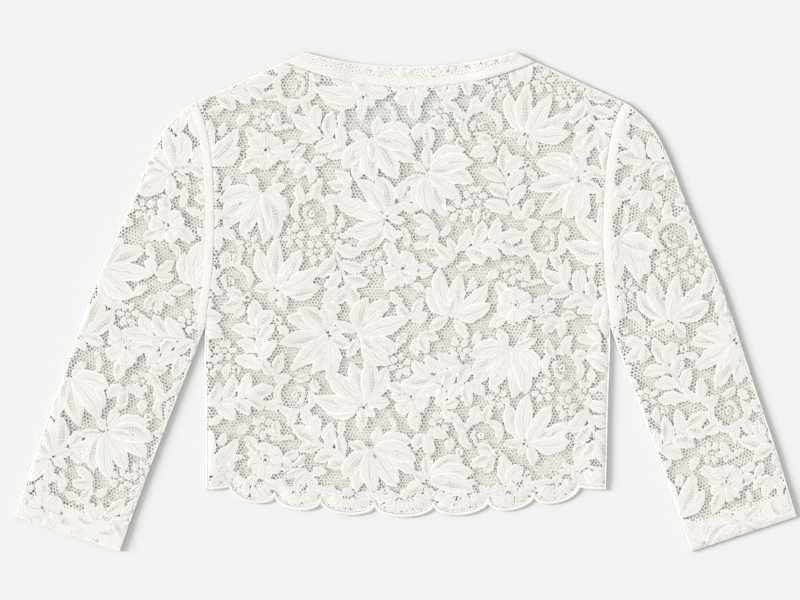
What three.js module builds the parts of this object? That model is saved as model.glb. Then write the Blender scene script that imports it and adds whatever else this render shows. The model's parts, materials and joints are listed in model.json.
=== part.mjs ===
// A lace bolero with three-quarter sleeves, laid flat with its back panel up.
//
// The frame is in millimetres. +Z is up, +X runs across the garment and +Y runs towards
// its neck. The garment lies on the plane z = 0, and the origin is the middle of that
// footprint. Every outline is drafted as a tailor would: "across" is measured from the
// middle of the body, and "down" from the level of the neck points.

import * as THREE from 'three';
import { mergeVertices } from 'three/addons/utils/BufferGeometryUtils.js';

const { clamp, lerp, smoothstep } = THREE.MathUtils;

// A table with named columns: each list of numbers is one of its rows.
function table(names, lists) {
  return lists.map((list) => Object.fromEntries(names.map((name, k) => [name, list[k]])));
}

// ---------- driving dimensions ----------

const LENGTH = 523.4; // from the neck points down to the inner corner of a cuff
const LEAN = 0.0095; // the garment lies a little askew: sideways step for each step up
const LEAN_FROM = 486.7; // the level, down from the neck, where that sideways step is zero

const WALL = 1; // one layer of lace
const GAP = 0.3; // clearance between two pieces
const LAYER = WALL + GAP;
const SEAM_CLEAR = 0.5; // how far an armhole tape keeps from the seam
const SEAM_DROP = 0.9; // how far down a body panel's top edge keeps from a sloping seam

const NECK_HALF = 110; // half the neck width, at the neck points
const NECK_DIP = 15; // how far the back neck edge sags in the middle
const BAND_DEPTH = 21.6; // neckband, from its folded edge to the neck seam
const NECK_SEAM_HALF = 131; // half the width of the neck seam, where it meets the shoulder
const NECK_SEAM_DROP = 10; // level of the neck seam at the shoulder
const NECK_POWER = 2.2; // how square the back neck curve is
const FRONT_NECK_DEPTH = 125; // level of the front neck seam at the centre front
const FRONT_NECK_POWER = 0.9;
const SHOULDER_SLOPE = 0.456;
const FRONT_OPENING = 2; // the gap between the two fronts, where they meet

const LIFT_FROM = 0.45; // share of the neck's half width at which the neckband starts to rise
const LIFT_FULL = 0.72; // and where it lies fully on the front stretches

const TAPE_WIDTH = 9.2; // the tape that covers the seam allowance inside
const TAPE_TOP = 69; // levels at which an armhole tape starts and stops
const TAPE_END = 278;
const NECK_TAPE_REACH = 0.985; // how much of the neck seam's width its tape covers

const TURN_RISE = 1.1; // how much the back rises beside a side seam, where the cloth turns
const TURN_NEAR = 6; // distances from the side seam at which that rise is reached,
const TURN_KEEP = 8; // kept,
const TURN_FAR = 24; // and gone
const ARMHOLE_RISE = 1.2; // how much it rises beside an armhole, over the sleeve's allowance
const ARMHOLE_NEAR = 1;
const ARMHOLE_FAR = 16;

const HEM_BOW = 20; // how much lower the hem hangs in the middle than at the last notch
const HEM_MIDDLE = 475; // level of the scallops' notches in the middle
const SCALLOP_DEPTH = 12.6;
const END_SCALLOP_DEPTH = 3.6; // the part scallops beside the side seams
const HEM_HALF = 209.5;

// Widths of the scallops along the hem, from one side seam to the other.
const SCALLOPS = [25, 47, 48, 57, 62, 57, 48, 47, 28];

// Half the width of the body, from the shoulder down the armhole seam to the side seam.
const BODY_SIDE = [
  { down: 51.7, across: 223.7 },
  { down: 88, across: 211.8 },
  { down: 150, across: 205.2 },
  { down: 222, across: 205.6 },
  { down: 287.2, across: 212.4 },
  { down: 372, across: 211 },
  { down: 475, across: HEM_HALF },
];
const UNDERARM = 287.2;

// The sleeve's sections, from the armhole to the cuff. Each runs from the folded outer
// edge to the inner seam. "bow" is how much of the armhole's curve the section keeps,
// "wall" is the cloth's thickness, and the two heights are those of the outer surface
// along the folded edges and over the middle.
const SLEEVE = table(
  ['outAcross', 'outDown', 'inAcross', 'inDown', 'bow', 'wall', 'edge', 'middle'],
  [
    [224, 51.9, 212.7, 288, 1, 1, 4.8, 3.8],
    [234.5, 58.4, 216.9, 299, 0.74, 1, 4.8, 3.8],
    [254.1, 77.7, 220, 308, 0.48, 1, 4.2, 2.3],
    [270.4, 106.6, 227.3, 327, 0.28, 1, 4.2, 2.3],
    [288.8, 152.8, 235, 347, 0.12, 1, 4, 2.3],
    [307.7, 196.9, 243.9, 370, 0.04, 1, 4.4, 2.6],
    [330.3, 249.4, 254.1, 397, 0, 1, 4, 2.3],
    [361.2, 340.2, 269.9, 439, 0, 1, 4.2, 2.3],
    [388.5, 418.9, 286, 484, 0, 1, 4.2, 2.4],
    [400.8, 458.1, 290, 495.1, 0, 1, 4.4, 2.6],
    [401.7, 460.9, 290.9, 497.9, 0, 2, 4.8, 4.6],
    [409.8, 486.7, 299.8, LENGTH, 0, 2, 4.8, 4.6],
  ],
);

// Soft swells of the cloth: a long low ridge each, lying at "turn" degrees from across.
const SWELLS = [
  { across: -150, down: 330, long: 120, wide: 16, turn: 62, high: 0.9 },
  { across: 158, down: 350, long: 130, wide: 18, turn: -66, high: 1.0 },
  { across: -60, down: 140, long: 110, wide: 20, turn: 12, high: 0.7 },
  { across: 85, down: 215, long: 120, wide: 17, turn: -24, high: 0.8 },
  { across: -20, down: 400, long: 150, wide: 19, turn: 8, high: 0.8 },
  { across: 330, down: 380, long: 60, wide: 12, turn: -35, high: 0.7 },
  { across: -322, down: 360, long: 66, wide: 13, turn: 38, high: 0.8 },
  { across: 262, down: 200, long: 52, wide: 12, turn: -62, high: 0.7 },
  { across: -258, down: 214, long: 56, wide: 11, turn: 58, high: 0.7 },
];

// Resolution of the cloth. The body's armhole rows and the sleeve's columns meet there, so
// they have the same number.
const BACK_COLUMNS = 54;
const FRONT_COLUMNS = 27;
const SIDE_ROWS = 4;
const ARMHOLE_ROWS = 6;
const BODY_ROWS = SIDE_ROWS + ARMHOLE_ROWS;
const BAND_STATIONS = 20;
const TAPE_STATIONS = 14;
const SLEEVE_STEPS = 2; // stations made from each row of SLEEVE
const FOLD_STEPS = 4; // facets round a folded edge
const FOLD_SHARE = 0.3; // share of a sleeve's width over which its fold flattens out
const NOTCH_CROWDING = 0.5; // how much the columns of a scallop crowd towards its notches
const TOP_PASSES = 8; // steps that settle where a column of the body meets its top edge

// ---------- small helpers ----------

// A smooth curve through a table: the value of one column where another has a given value.
function along(rows, key, at, value) {
  const last = rows.length - 1;
  let i = 0;
  while (i < last - 1 && at > rows[i + 1][key]) i += 1;
  const slope = (j) => {
    const a = rows[Math.max(j - 1, 0)];
    const b = rows[Math.min(j + 1, last)];
    return (b[value] - a[value]) / (b[key] - a[key]);
  };
  const [from, to] = [rows[i], rows[i + 1]];
  const span = to[key] - from[key];
  const t = clamp((at - from[key]) / span, 0, 1);
  const rise = to[value] - from[value];
  const bend = t * (1 - t) * ((1 - t) * (slope(i) * span - rise) - t * (slope(i + 1) * span - rise));
  return lerp(from[value], to[value], t) + bend;
}

// A point of the draft, set down in the garment's frame.
function place(across, down, z) {
  const x = across + LEAN * (LEAN_FROM - down);
  return new THREE.Vector3(x, LENGTH / 2 - down, z);
}

// The draft point a given share of the way from one to another.
function between(from, to, share) {
  return { across: lerp(from.across, to.across, share), down: lerp(from.down, to.down, share) };
}

// How much the upper layer swells away from the one below it.
function swell(across, down) {
  let high = 0;
  for (const s of SWELLS) {
    const angle = THREE.MathUtils.degToRad(s.turn);
    const dx = across - s.across;
    const dy = s.down - down;
    const u = (dx * Math.cos(angle) + dy * Math.sin(angle)) / s.long;
    const v = (dy * Math.cos(angle) - dx * Math.sin(angle)) / s.wide;
    high += s.high * Math.exp(-(u * u) - v * v);
  }
  return high;
}

// Collects vertices and quads, and turns them into one named mesh.
class Shell {
  constructor() {
    this.positions = [];
    this.indices = [];
  }

  point(v) {
    this.positions.push(v.x, v.y, v.z);
    return this.positions.length / 3 - 1;
  }

  triangle(a, b, c) {
    this.indices.push(a, b, c);
  }

  quad(a, b, c, d) {
    this.triangle(a, b, c);
    this.triangle(a, c, d);
  }

  mesh(name, color = LACE) {
    const geometry = new THREE.BufferGeometry();
    geometry.setAttribute('position', new THREE.Float32BufferAttribute(this.positions, 3));
    geometry.setIndex(this.indices);
    const welded = mergeVertices(geometry, 1e-4);
    welded.computeVertexNormals();
    const material = new THREE.MeshStandardMaterial({ color, roughness: ROUGHNESS, metalness: 0 });
    const mesh = new THREE.Mesh(welded, material);
    mesh.name = name;
    return mesh;
  }
}

const LACE = 0xf3f0e9;
const TAPE = 0xf6f3ec;
const ROUGHNESS = 0.85;

// A panel: a grid of columns and rows with an upper and a lower surface, closed all round.
// at(i, j) gives the draft point { across, down, low, high } of a grid corner.
function panel(name, columns, rows, at, color) {
  const shell = new Shell();
  const low = [];
  const high = [];
  for (let i = 0; i <= columns; i += 1) {
    low.push([]);
    high.push([]);
    for (let j = 0; j <= rows; j += 1) {
      const p = at(i, j);
      low[i].push(shell.point(place(p.across, p.down, p.low)));
      high[i].push(shell.point(place(p.across, p.down, p.high)));
    }
  }
  for (let i = 0; i < columns; i += 1) {
    for (let j = 0; j < rows; j += 1) {
      shell.quad(high[i][j], high[i + 1][j], high[i + 1][j + 1], high[i][j + 1]);
      shell.quad(low[i][j], low[i][j + 1], low[i + 1][j + 1], low[i + 1][j]);
    }
    shell.quad(low[i][0], low[i + 1][0], high[i + 1][0], high[i][0]);
    shell.quad(high[i][rows], high[i + 1][rows], low[i + 1][rows], low[i][rows]);
  }
  for (let j = 0; j < rows; j += 1) {
    shell.quad(high[0][j], high[0][j + 1], low[0][j + 1], low[0][j]);
    shell.quad(low[columns][j], low[columns][j + 1], high[columns][j + 1], high[columns][j]);
  }
  return shell.mesh(name, color);
}

// ---------- the outlines of the body ----------

const bodyHalf = (down) => along(BODY_SIDE, 'down', Math.max(down, BODY_SIDE[0].down), 'across');

const shoulder = (across) => (Math.abs(across) - NECK_HALF) * SHOULDER_SLOPE;

function backNeckSeam(across) {
  const share = Math.abs(across) / NECK_SEAM_HALF;
  return lerp(NECK_DIP + BAND_DEPTH, NECK_SEAM_DROP, share ** NECK_POWER);
}

function frontNeckSeam(across) {
  const share = Math.min(Math.abs(across) / NECK_SEAM_HALF, 1);
  const fall = Math.cos((share * Math.PI) / 2) ** FRONT_NECK_POWER;
  return lerp(NECK_SEAM_DROP, FRONT_NECK_DEPTH, fall);
}

// The top edge of the back or of a front: the neck seam, then the shoulder.
function topEdge(across, neckSeam) {
  const edge = Math.abs(across) < NECK_SEAM_HALF ? neckSeam(across) : shoulder(across);
  return edge + SEAM_DROP;
}

// The scalloped hem: half-round scallops whose notches follow a shallow bow.
function hem(across) {
  let start = -HEM_HALF;
  let index = 0;
  while (index < SCALLOPS.length - 1 && across > start + SCALLOPS[index]) {
    start += SCALLOPS[index];
    index += 1;
  }
  const share = clamp((across - start) / SCALLOPS[index], 0, 1);
  const first = index === 0;
  const last = index === SCALLOPS.length - 1;
  const phase = first ? (1 + share) / 2 : last ? share / 2 : share;
  const bow = HEM_BOW * (across / (HEM_HALF - SCALLOPS[0])) ** 2;
  const depth = first || last ? END_SCALLOP_DEPTH : SCALLOP_DEPTH;
  return HEM_MIDDLE - Math.min(bow, HEM_BOW) + depth * Math.sqrt(4 * phase * (1 - phase));
}

// Corners of the body's grid, spread so that every notch of the hem lies on a column.
function hemStations(columns) {
  const total = SCALLOPS.reduce((sum, width) => sum + width, 0);
  const each = columns / SCALLOPS.length;
  const stations = [0];
  let start = 0;
  for (const width of SCALLOPS) {
    for (let k = 1; k <= each; k += 1) {
      const turn = (1 - Math.cos((k / each) * Math.PI)) / 2;
      stations.push((start + width * lerp(k / each, turn, NOTCH_CROWDING)) / total);
    }
    start += width;
  }
  return stations.map((share) => lerp(-1, 1, share));
}

// A draft point of a body panel, from its column (-1 to 1) and its row, counted from the
// hem. One row ends at the underarm.
function bodyPoint(column, row, neckSeam) {
  const bottom = hem(column * HEM_HALF);
  let top = topEdge(column * BODY_SIDE[0].across, neckSeam);
  for (let pass = 0; pass < TOP_PASSES; pass += 1) {
    top = topEdge(column * bodyHalf(top), neckSeam);
  }
  const side = hem(HEM_HALF);
  const underarm = (side - UNDERARM) / (side - BODY_SIDE[0].down);
  const share = row < SIDE_ROWS
    ? (underarm * row) / SIDE_ROWS
    : lerp(underarm, 1, (row - SIDE_ROWS) / ARMHOLE_ROWS);
  const down = lerp(bottom, top, share);
  return { across: column * bodyHalf(down), down };
}

// ---------- the pieces ----------

// The back lies over the fronts. It rises beside the side seams, where the cloth turns
// over, and beside the armhole seams, where the sleeve's allowance lies under it.
function backPanel() {
  const stations = hemStations(BACK_COLUMNS);
  return panel('back', BACK_COLUMNS, BODY_ROWS, (i, j) => {
    const { across, down } = bodyPoint(stations[i], j, backNeckSeam);
    const inside = bodyHalf(down) - Math.abs(across);
    const near = smoothstep(inside, 0, TURN_NEAR);
    const turned = TURN_RISE * near * (1 - smoothstep(inside, TURN_KEEP, TURN_FAR));
    const beside = ARMHOLE_RISE * (1 - smoothstep(inside, ARMHOLE_NEAR, ARMHOLE_FAR));
    const rise = down > UNDERARM ? turned : beside;
    const low = LAYER + rise + swell(across, down);
    return { across, down, low, high: low + WALL };
  });
}

function frontPanel(name, side) {
  const stations = hemStations(BACK_COLUMNS).slice(FRONT_COLUMNS);
  return panel(name, FRONT_COLUMNS, BODY_ROWS, (i, j) => {
    const column = stations[side > 0 ? i : FRONT_COLUMNS - i] * side;
    const point = bodyPoint(column, j, frontNeckSeam);
    const across = side * Math.max(Math.abs(point.across), FRONT_OPENING / 2);
    return { across, down: point.down, low: 0, high: WALL };
  });
}

// The long edges of the neckband where it passes the back neck: its seam and its fold.
function backBandEdges(u) {
  const seam = { across: NECK_SEAM_HALF * u, down: backNeckSeam(NECK_SEAM_HALF * u) };
  const fold = { across: NECK_HALF * u, down: NECK_DIP * (1 - Math.abs(u) ** NECK_POWER) };
  return { seam, fold };
}

// The back stretch of the neckband is a strip folded double along its upper edge. Near the
// shoulders it lies over the front stretches.
function neckbandBack() {
  const shell = new Shell();
  const outer = (3 * WALL + 2 * GAP) / 2;
  const rings = [];
  for (let i = 0; i <= BAND_STATIONS; i += 1) {
    const u = lerp(-1, 1, i / BAND_STATIONS);
    const { seam, fold } = backBandEdges(u);
    const reach = Math.hypot(fold.across - seam.across, fold.down - seam.down);
    rings.push(bandSection(reach, outer).map(({ out, z }) => {
      const { across, down } = between(seam, fold, out / reach);
      return shell.point(place(across, down, bandLift(u) + z));
    }));
  }
  const contour = bandSection(BAND_DEPTH, outer).map(({ out, z }) => new THREE.Vector2(out, z));
  const caps = THREE.ShapeUtils.triangulateShape(contour, []);
  const [first, end] = [rings[0], rings[BAND_STATIONS]];
  for (const [a, b, c] of caps) {
    shell.triangle(first[c], first[b], first[a]);
    shell.triangle(end[a], end[b], end[c]);
  }
  for (let i = 0; i < BAND_STATIONS; i += 1) {
    for (let k = 0; k < contour.length; k += 1) {
      const next = (k + 1) % contour.length;
      shell.quad(rings[i][k], rings[i][next], rings[i + 1][next], rings[i + 1][k]);
    }
  }
  return shell.mesh('neckband_back');
}

// How far the neckband is lifted off the surface, to pass over its front stretches.
const bandLift = (u) => LAYER * smoothstep(Math.abs(u), LIFT_FROM, LIFT_FULL);

// The neckband's section: a U on its side, open at the seam and round at the fold. "outer"
// is half its height: two walls, with the tape and its clearances between them.
function bandSection(reach, outer) {
  const points = [];
  const arc = (radius, from, to) => {
    for (let k = 0; k <= FOLD_STEPS; k += 1) {
      const angle = lerp(from, to, k / FOLD_STEPS);
      const out = reach - outer + radius * Math.cos(angle);
      points.push({ out, z: outer + radius * Math.sin(angle) });
    }
  };
  points.push({ out: 0, z: 0 });
  arc(outer, -Math.PI / 2, Math.PI / 2);
  points.push({ out: 0, z: 2 * outer });
  points.push({ out: 0, z: 2 * outer - WALL });
  arc(outer - WALL, Math.PI / 2, -Math.PI / 2);
  points.push({ out: 0, z: WALL });
  return points;
}

// A front stretch of the neckband, pressed flat: one wall from the seam to the neck edge.
function neckbandFront(name, side) {
  return panel(name, BAND_STATIONS, 1, (i, j) => {
    const first = FRONT_OPENING / 2 / NECK_HALF;
    const share = i / BAND_STATIONS;
    const u = lerp(first, 1, side > 0 ? share : 1 - share);
    const fall = Math.cos((u * Math.PI) / 2) ** FRONT_NECK_POWER;
    const seamDown = lerp(NECK_SEAM_DROP, FRONT_NECK_DEPTH, fall);
    const seam = { across: NECK_SEAM_HALF * u, down: seamDown };
    const edge = { across: NECK_HALF * u, down: (FRONT_NECK_DEPTH - BAND_DEPTH) * fall };
    const point = j === 0 ? seam : edge;
    return { across: side * point.across, down: point.down, low: 0, high: WALL };
  });
}

// The tape inside the neckband, over the seam allowance of the back neck.
function neckTape() {
  return panel('neck_tape', BAND_STATIONS, 1, (i, j) => {
    const u = lerp(-1, 1, i / BAND_STATIONS) * NECK_TAPE_REACH;
    const { seam, fold } = backBandEdges(u);
    const { across, down } = between(seam, fold, (j * TAPE_WIDTH) / BAND_DEPTH);
    const low = LAYER + bandLift(u);
    return { across, down, low, high: low + WALL };
  }, TAPE);
}

// The tape inside a sleeve, over the allowance of the armhole seam.
function armholeTape(name, side) {
  return panel(name, TAPE_STATIONS, 1, (i, j) => {
    const share = i / TAPE_STATIONS;
    const down = lerp(TAPE_TOP, TAPE_END, side > 0 ? share : 1 - share);
    const across = bodyHalf(down) + SEAM_CLEAR + j * TAPE_WIDTH;
    return { across: side * across, down, low: LAYER, high: LAYER + WALL };
  }, TAPE);
}

// A sleeve is one tube pressed flat: its upper layer lies on its lower one, and both long
// edges are rounded folds. The last rows carry the turned-up hem of the cuff.
function sleeve(name, side) {
  const rows = SLEEVE.map((row, index) => ({ ...row, index }));
  const stations = (SLEEVE.length - 1) * SLEEVE_STEPS;
  const shell = new Shell();
  const outerRings = [];
  const innerRings = [];
  for (let i = 0; i <= stations; i += 1) {
    const at = i / SLEEVE_STEPS;
    const row = {};
    for (const key of Object.keys(SLEEVE[0])) {
      const straight = key === 'wall' || key === 'edge' || key === 'middle';
      const from = rows[Math.floor(at)];
      const to = rows[Math.min(Math.floor(at) + 1, rows.length - 1)];
      row[key] = straight ? lerp(from[key], to[key], at % 1) : along(rows, 'index', at, key);
    }
    const [outer, inner] = sleeveRings(row, side);
    outerRings.push(outer.map((v) => shell.point(v)));
    innerRings.push(inner.map((v) => shell.point(v)));
  }
  const count = outerRings[0].length;
  const [firstOut, firstIn] = [outerRings[0], innerRings[0]];
  const [lastOut, lastIn] = [outerRings[stations], innerRings[stations]];
  const quad = side > 0
    ? (a, b, c, d) => shell.quad(a, b, c, d)
    : (a, b, c, d) => shell.quad(d, c, b, a);
  for (let k = 0; k < count; k += 1) {
    const next = (k + 1) % count;
    for (let i = 0; i < stations; i += 1) {
      quad(outerRings[i][k], outerRings[i][next], outerRings[i + 1][next], outerRings[i + 1][k]);
      quad(innerRings[i][next], innerRings[i][k], innerRings[i + 1][k], innerRings[i + 1][next]);
    }
    quad(firstIn[k], firstIn[next], firstOut[next], firstOut[k]);
    quad(lastOut[k], lastOut[next], lastIn[next], lastIn[k]);
  }
  return shell.mesh(name);
}

// The outer and the inner ring of one section, starting on the lower layer at the fold.
function sleeveRings(row, side) {
  const width = Math.hypot(row.outAcross - row.inAcross, row.outDown - row.inDown);
  const radius = row.edge / 2;
  const top = rowHeight(row);
  const spots = [];
  const fold = (centre, from, to) => {
    for (let k = 0; k <= FOLD_STEPS; k += 1) {
      const angle = lerp(from, to, k / FOLD_STEPS);
      spots.push({ centre, angle });
    }
  };
  fold(radius, (3 * Math.PI) / 2, Math.PI / 2);
  for (let k = 1; k < ARMHOLE_ROWS; k += 1) spots.push({ upper: k / ARMHOLE_ROWS });
  fold(width - radius, Math.PI / 2, -Math.PI / 2);
  for (let k = ARMHOLE_ROWS - 1; k > 0; k -= 1) spots.push({ lower: k / ARMHOLE_ROWS });
  const ring = (inset) => spots.map((spot) => {
    if (spot.centre !== undefined) {
      const reach = radius - inset;
      const out = spot.centre + reach * Math.cos(spot.angle);
      return sleevePoint(row, side, out / width, radius + reach * Math.sin(spot.angle));
    }
    const share = spot.upper ?? spot.lower;
    const across = side * lerp(row.outAcross, row.inAcross, share);
    const swelled = swell(across, lerp(row.outDown, row.inDown, share));
    const z = spot.upper === undefined ? inset : top(share) + swelled - inset;
    return sleevePoint(row, side, share, z);
  });
  return [ring(0), ring(row.wall)];
}

// The upper layer's height across a section: high beside the folds, lower between them.
function rowHeight(row) {
  return (share) => {
    const fromEdge = Math.min(share, 1 - share);
    return lerp(row.edge, row.middle, smoothstep(fromEdge, 0, FOLD_SHARE));
  };
}

// A point of a section, bowed as the armhole is.
function sleevePoint(row, side, share, z) {
  const straight = lerp(SLEEVE[0].outAcross, SLEEVE[0].inAcross, share);
  const level = lerp(SLEEVE[0].outDown, SLEEVE[0].inDown, share);
  const bow = row.bow * (bodyHalf(level) + GAP - straight);
  const across = lerp(row.outAcross, row.inAcross, share) + bow;
  return place(side * across, lerp(row.outDown, row.inDown, share), z);
}

// ---------- the garment ----------

const bolero = new THREE.Group();
bolero.add(backPanel());
bolero.add(frontPanel('front_left', -1));
bolero.add(frontPanel('front_right', 1));
bolero.add(sleeve('sleeve_left', -1));
bolero.add(sleeve('sleeve_right', 1));
bolero.add(neckbandBack());
bolero.add(neckbandFront('neckband_front_left', -1));
bolero.add(neckbandFront('neckband_front_right', 1));
bolero.add(neckTape());
bolero.add(armholeTape('armhole_tape_left', -1));
bolero.add(armholeTape('armhole_tape_right', 1));

export default bolero;
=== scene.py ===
# %% [markdown]
# # A lace bolero, laid flat
# A bolero is a cropped jacket. This one is cut from ivory allover lace: a six-sided net with
# leaves and flowers stitched into it. It lies face down, with its back panel up, so what
# shows is the back, the upper half of each sleeve, and the neckband. Through the holes of
# the net the fronts and the undersides of the sleeves show too.
#
# The packed model gives the size and place of each piece of cloth as a plain solid. Here
# each one is replaced by real lace. The model is loaded first, and its box is kept.

# %% Load the frame
import json
import math
import random

import bmesh
import bpy
import numpy as np
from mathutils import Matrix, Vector

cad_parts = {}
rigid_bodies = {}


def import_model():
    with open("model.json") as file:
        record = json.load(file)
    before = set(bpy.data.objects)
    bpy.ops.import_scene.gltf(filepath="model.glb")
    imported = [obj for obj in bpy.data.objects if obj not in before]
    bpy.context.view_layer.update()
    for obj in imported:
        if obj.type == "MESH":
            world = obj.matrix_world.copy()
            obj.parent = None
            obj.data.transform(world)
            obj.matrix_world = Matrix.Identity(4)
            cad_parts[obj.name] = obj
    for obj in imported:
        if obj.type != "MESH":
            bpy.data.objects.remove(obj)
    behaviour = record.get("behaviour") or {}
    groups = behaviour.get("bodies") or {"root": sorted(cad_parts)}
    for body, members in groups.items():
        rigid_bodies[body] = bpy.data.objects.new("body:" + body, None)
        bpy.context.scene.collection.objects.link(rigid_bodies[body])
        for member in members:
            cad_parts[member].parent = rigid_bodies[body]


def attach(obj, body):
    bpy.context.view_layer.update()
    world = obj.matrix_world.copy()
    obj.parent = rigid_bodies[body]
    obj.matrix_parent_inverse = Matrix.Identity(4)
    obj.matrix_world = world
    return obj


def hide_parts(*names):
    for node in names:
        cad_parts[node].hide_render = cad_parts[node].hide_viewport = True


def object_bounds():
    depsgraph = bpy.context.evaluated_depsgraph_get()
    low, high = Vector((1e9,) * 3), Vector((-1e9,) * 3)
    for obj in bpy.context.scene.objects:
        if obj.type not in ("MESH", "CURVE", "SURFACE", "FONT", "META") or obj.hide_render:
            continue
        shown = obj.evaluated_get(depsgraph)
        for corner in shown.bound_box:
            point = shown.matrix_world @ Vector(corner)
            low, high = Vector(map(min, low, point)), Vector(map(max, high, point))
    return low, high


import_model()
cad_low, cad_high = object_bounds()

MM = 0.001
LENGTH = round((cad_high.y - cad_low.y) / MM, 1)  # from the neck points to the cuffs
print("the garment is", [round(v / MM, 1) for v in cad_high - cad_low], "mm")

# %% [markdown]
# ## Drafting
# A pattern cutter drafts on paper, and so does this script. "Across" is measured from the
# middle of the body and "down" from the level of the neck points, both in millimetres. A
# few widths at a few levels are enough, because a smooth curve joins them, as a curve stick
# does on paper. These are the sizes that the solids of the packed model have, and the lace
# is drafted to them again because it has to lie where they do.

# %% The draft's sizes
LEAN = 0.0095  # the garment lies a little askew: a step aside for each step up
LEAN_FROM = 486.7  # the level at which that step is zero
WALL = 1.0  # one layer of lace
GAP = 0.3  # the clearance between two layers
LAYER = WALL + GAP
SEAM_GAP = 0.05  # sewn edges touch

NECK_HALF = 110  # half the neck's width at its points, and how far its middle sags
NECK_DIP = 15
NECK_POWER = 2.2  # how square the neck's curve is
NECK_SEAM_HALF = 131  # where the neck's seam meets the shoulder
NECK_SEAM_DROP = 10
BAND_DEPTH = 21.6  # the neckband, from its fold to its seam
FRONT_NECK_DEPTH = 125  # the front neck's seam, at the centre front
FRONT_NECK_POWER = 0.9
SHOULDER_SLOPE = 0.456
SHOULDER_DOWN = 51.7  # the levels of the shoulder's end and of the underarm
UNDERARM = 287.2
TAPE_WIDTH = 9.2
TAPE_TOP = 69  # the levels between which an armhole needs its tape
TAPE_END = 278
HEM_HALF = 209.5
HEM_MIDDLE = 475  # the level of the scallops' notches in the middle
HEM_BOW = 20  # how much lower the middle hangs than the last notch
SCALLOP_DEPTH = 12.6
END_SCALLOP_DEPTH = 3.6  # the part scallops beside the side seams
SCALLOPS = [25, 47, 48, 57, 62, 57, 48, 47, 28]  # their widths, from side to side
CUFF_DEPTH = 27

# half widths of the body at some levels, then the outer and inner fold of a sleeve
BODY_DOWN = [SHOULDER_DOWN, 88, 150, 222, UNDERARM, 372, HEM_MIDDLE]
BODY_HALF = [223.7, 211.8, 205.2, 205.6, 212.4, 211, HEM_HALF]
SLEEVE_OUT_ACROSS = [224, 234.5, 254.1, 270.4, 288.8, 307.7, 330.3, 361.2, 388.5, 400.8, 401.7, 409.8]
SLEEVE_OUT_DOWN = [51.9, 58.4, 77.7, 106.6, 152.8, 196.9, 249.4, 340.2, 418.9, 458.1, 460.9, 486.7]
SLEEVE_IN_ACROSS = [212.7, 216.9, 220, 227.3, 235, 243.9, 254.1, 269.9, 286, 290, 290.9, 299.8]
SLEEVE_IN_DOWN = [288, 299, 308, 327, 347, 370, 397, 439, 484, 495.1, 497.9, LENGTH]
CUFF_ROW = 10  # the row of the sleeve's table at which the turned-up hem starts
SIDES = ((-1, "left"), (1, "right"))
print("the body is up to", 2 * max(BODY_HALF), "mm wide, and its hem has", len(SCALLOPS), "scallops")

# %% The draft's curves
def along(stations, values, at):
    """A smooth curve through a table: the value at each place asked for."""
    stations, values = np.asarray(stations, float), np.asarray(values, float)
    last = len(stations) - 1
    ahead = np.minimum(np.arange(last + 1) + 1, last)
    behind = np.maximum(np.arange(last + 1) - 1, 0)
    slope = (values[ahead] - values[behind]) / (stations[ahead] - stations[behind])
    i = np.clip(np.searchsorted(stations, at) - 1, 0, last - 1)
    span = stations[i + 1] - stations[i]
    t = np.clip((at - stations[i]) / span, 0, 1)
    rise = values[i + 1] - values[i]
    leave, arrive = slope[i] * span - rise, slope[i + 1] * span - rise
    return values[i] + rise * t + t * (1 - t) * ((1 - t) * leave - t * arrive)


def smooth(value, start, end):
    """0 before start, 1 after end, and a soft step between them."""
    t = np.clip((value - start) / (end - start), 0, 1)
    return t * t * (3 - 2 * t)


def lerp(a, b, share):
    return a + (b - a) * share


def body_half(down):
    return along(BODY_DOWN, BODY_HALF, np.maximum(down, SHOULDER_DOWN))


def back_neck(across):
    share = np.abs(across) / NECK_SEAM_HALF
    return lerp(NECK_DIP + BAND_DEPTH, NECK_SEAM_DROP, share**NECK_POWER)


def front_neck(across):
    share = np.minimum(np.abs(across) / NECK_SEAM_HALF, 1)
    return lerp(NECK_SEAM_DROP, FRONT_NECK_DEPTH, np.cos(share * math.pi / 2) ** FRONT_NECK_POWER)


def hem(across):
    """The scalloped edge of the lace: half-round scallops on a shallow bow."""
    notches = -HEM_HALF + np.cumsum([0] + SCALLOPS)
    i = np.clip(np.searchsorted(notches, across) - 1, 0, len(SCALLOPS) - 1)
    share = np.clip((across - notches[i]) / np.array(SCALLOPS)[i], 0, 1)
    first, last = i == 0, i == len(SCALLOPS) - 1
    phase = np.where(first, (1 + share) / 2, np.where(last, share / 2, share))
    bow = HEM_BOW * (across / (HEM_HALF - SCALLOPS[0])) ** 2
    depth = np.where(first | last, END_SCALLOP_DEPTH, SCALLOP_DEPTH)
    return HEM_MIDDLE - np.minimum(bow, HEM_BOW) + depth * np.sqrt(4 * phase * (1 - phase))


def plan(across, down):
    """Where points of the draft lie on the table, in millimetres."""
    across, down = np.broadcast_arrays(np.asarray(across, float), np.asarray(down, float))
    return np.stack([across + LEAN * (LEAN_FROM - down), LENGTH / 2 - down], -1)


def draft(points):
    """The draft's across and down of points on the table."""
    down = LENGTH / 2 - points[..., 1]
    return points[..., 0] - LEAN * (LEAN_FROM - down), down


print("the hem hangs down to", round(float(hem(np.array([0.0]))[0]), 1), "mm")

# %% [markdown]
# ## The cut pieces
# Each cut piece is its edges, named by what becomes of them: "fold" edges roll over into
# the layer below, "seam" edges sink into a seam, "hem" edges end in the open. A cut piece
# also knows how high it lies, and which way its right side faces. The garment lies on its
# fronts, so the lower layers face down.

# %% The edges of a cut piece
EDGE_STEP = 3.0  # millimetres between the points of an edge
ROUGH_STEPS = 60  # enough to measure an edge by
FAR = 1e3


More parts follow.
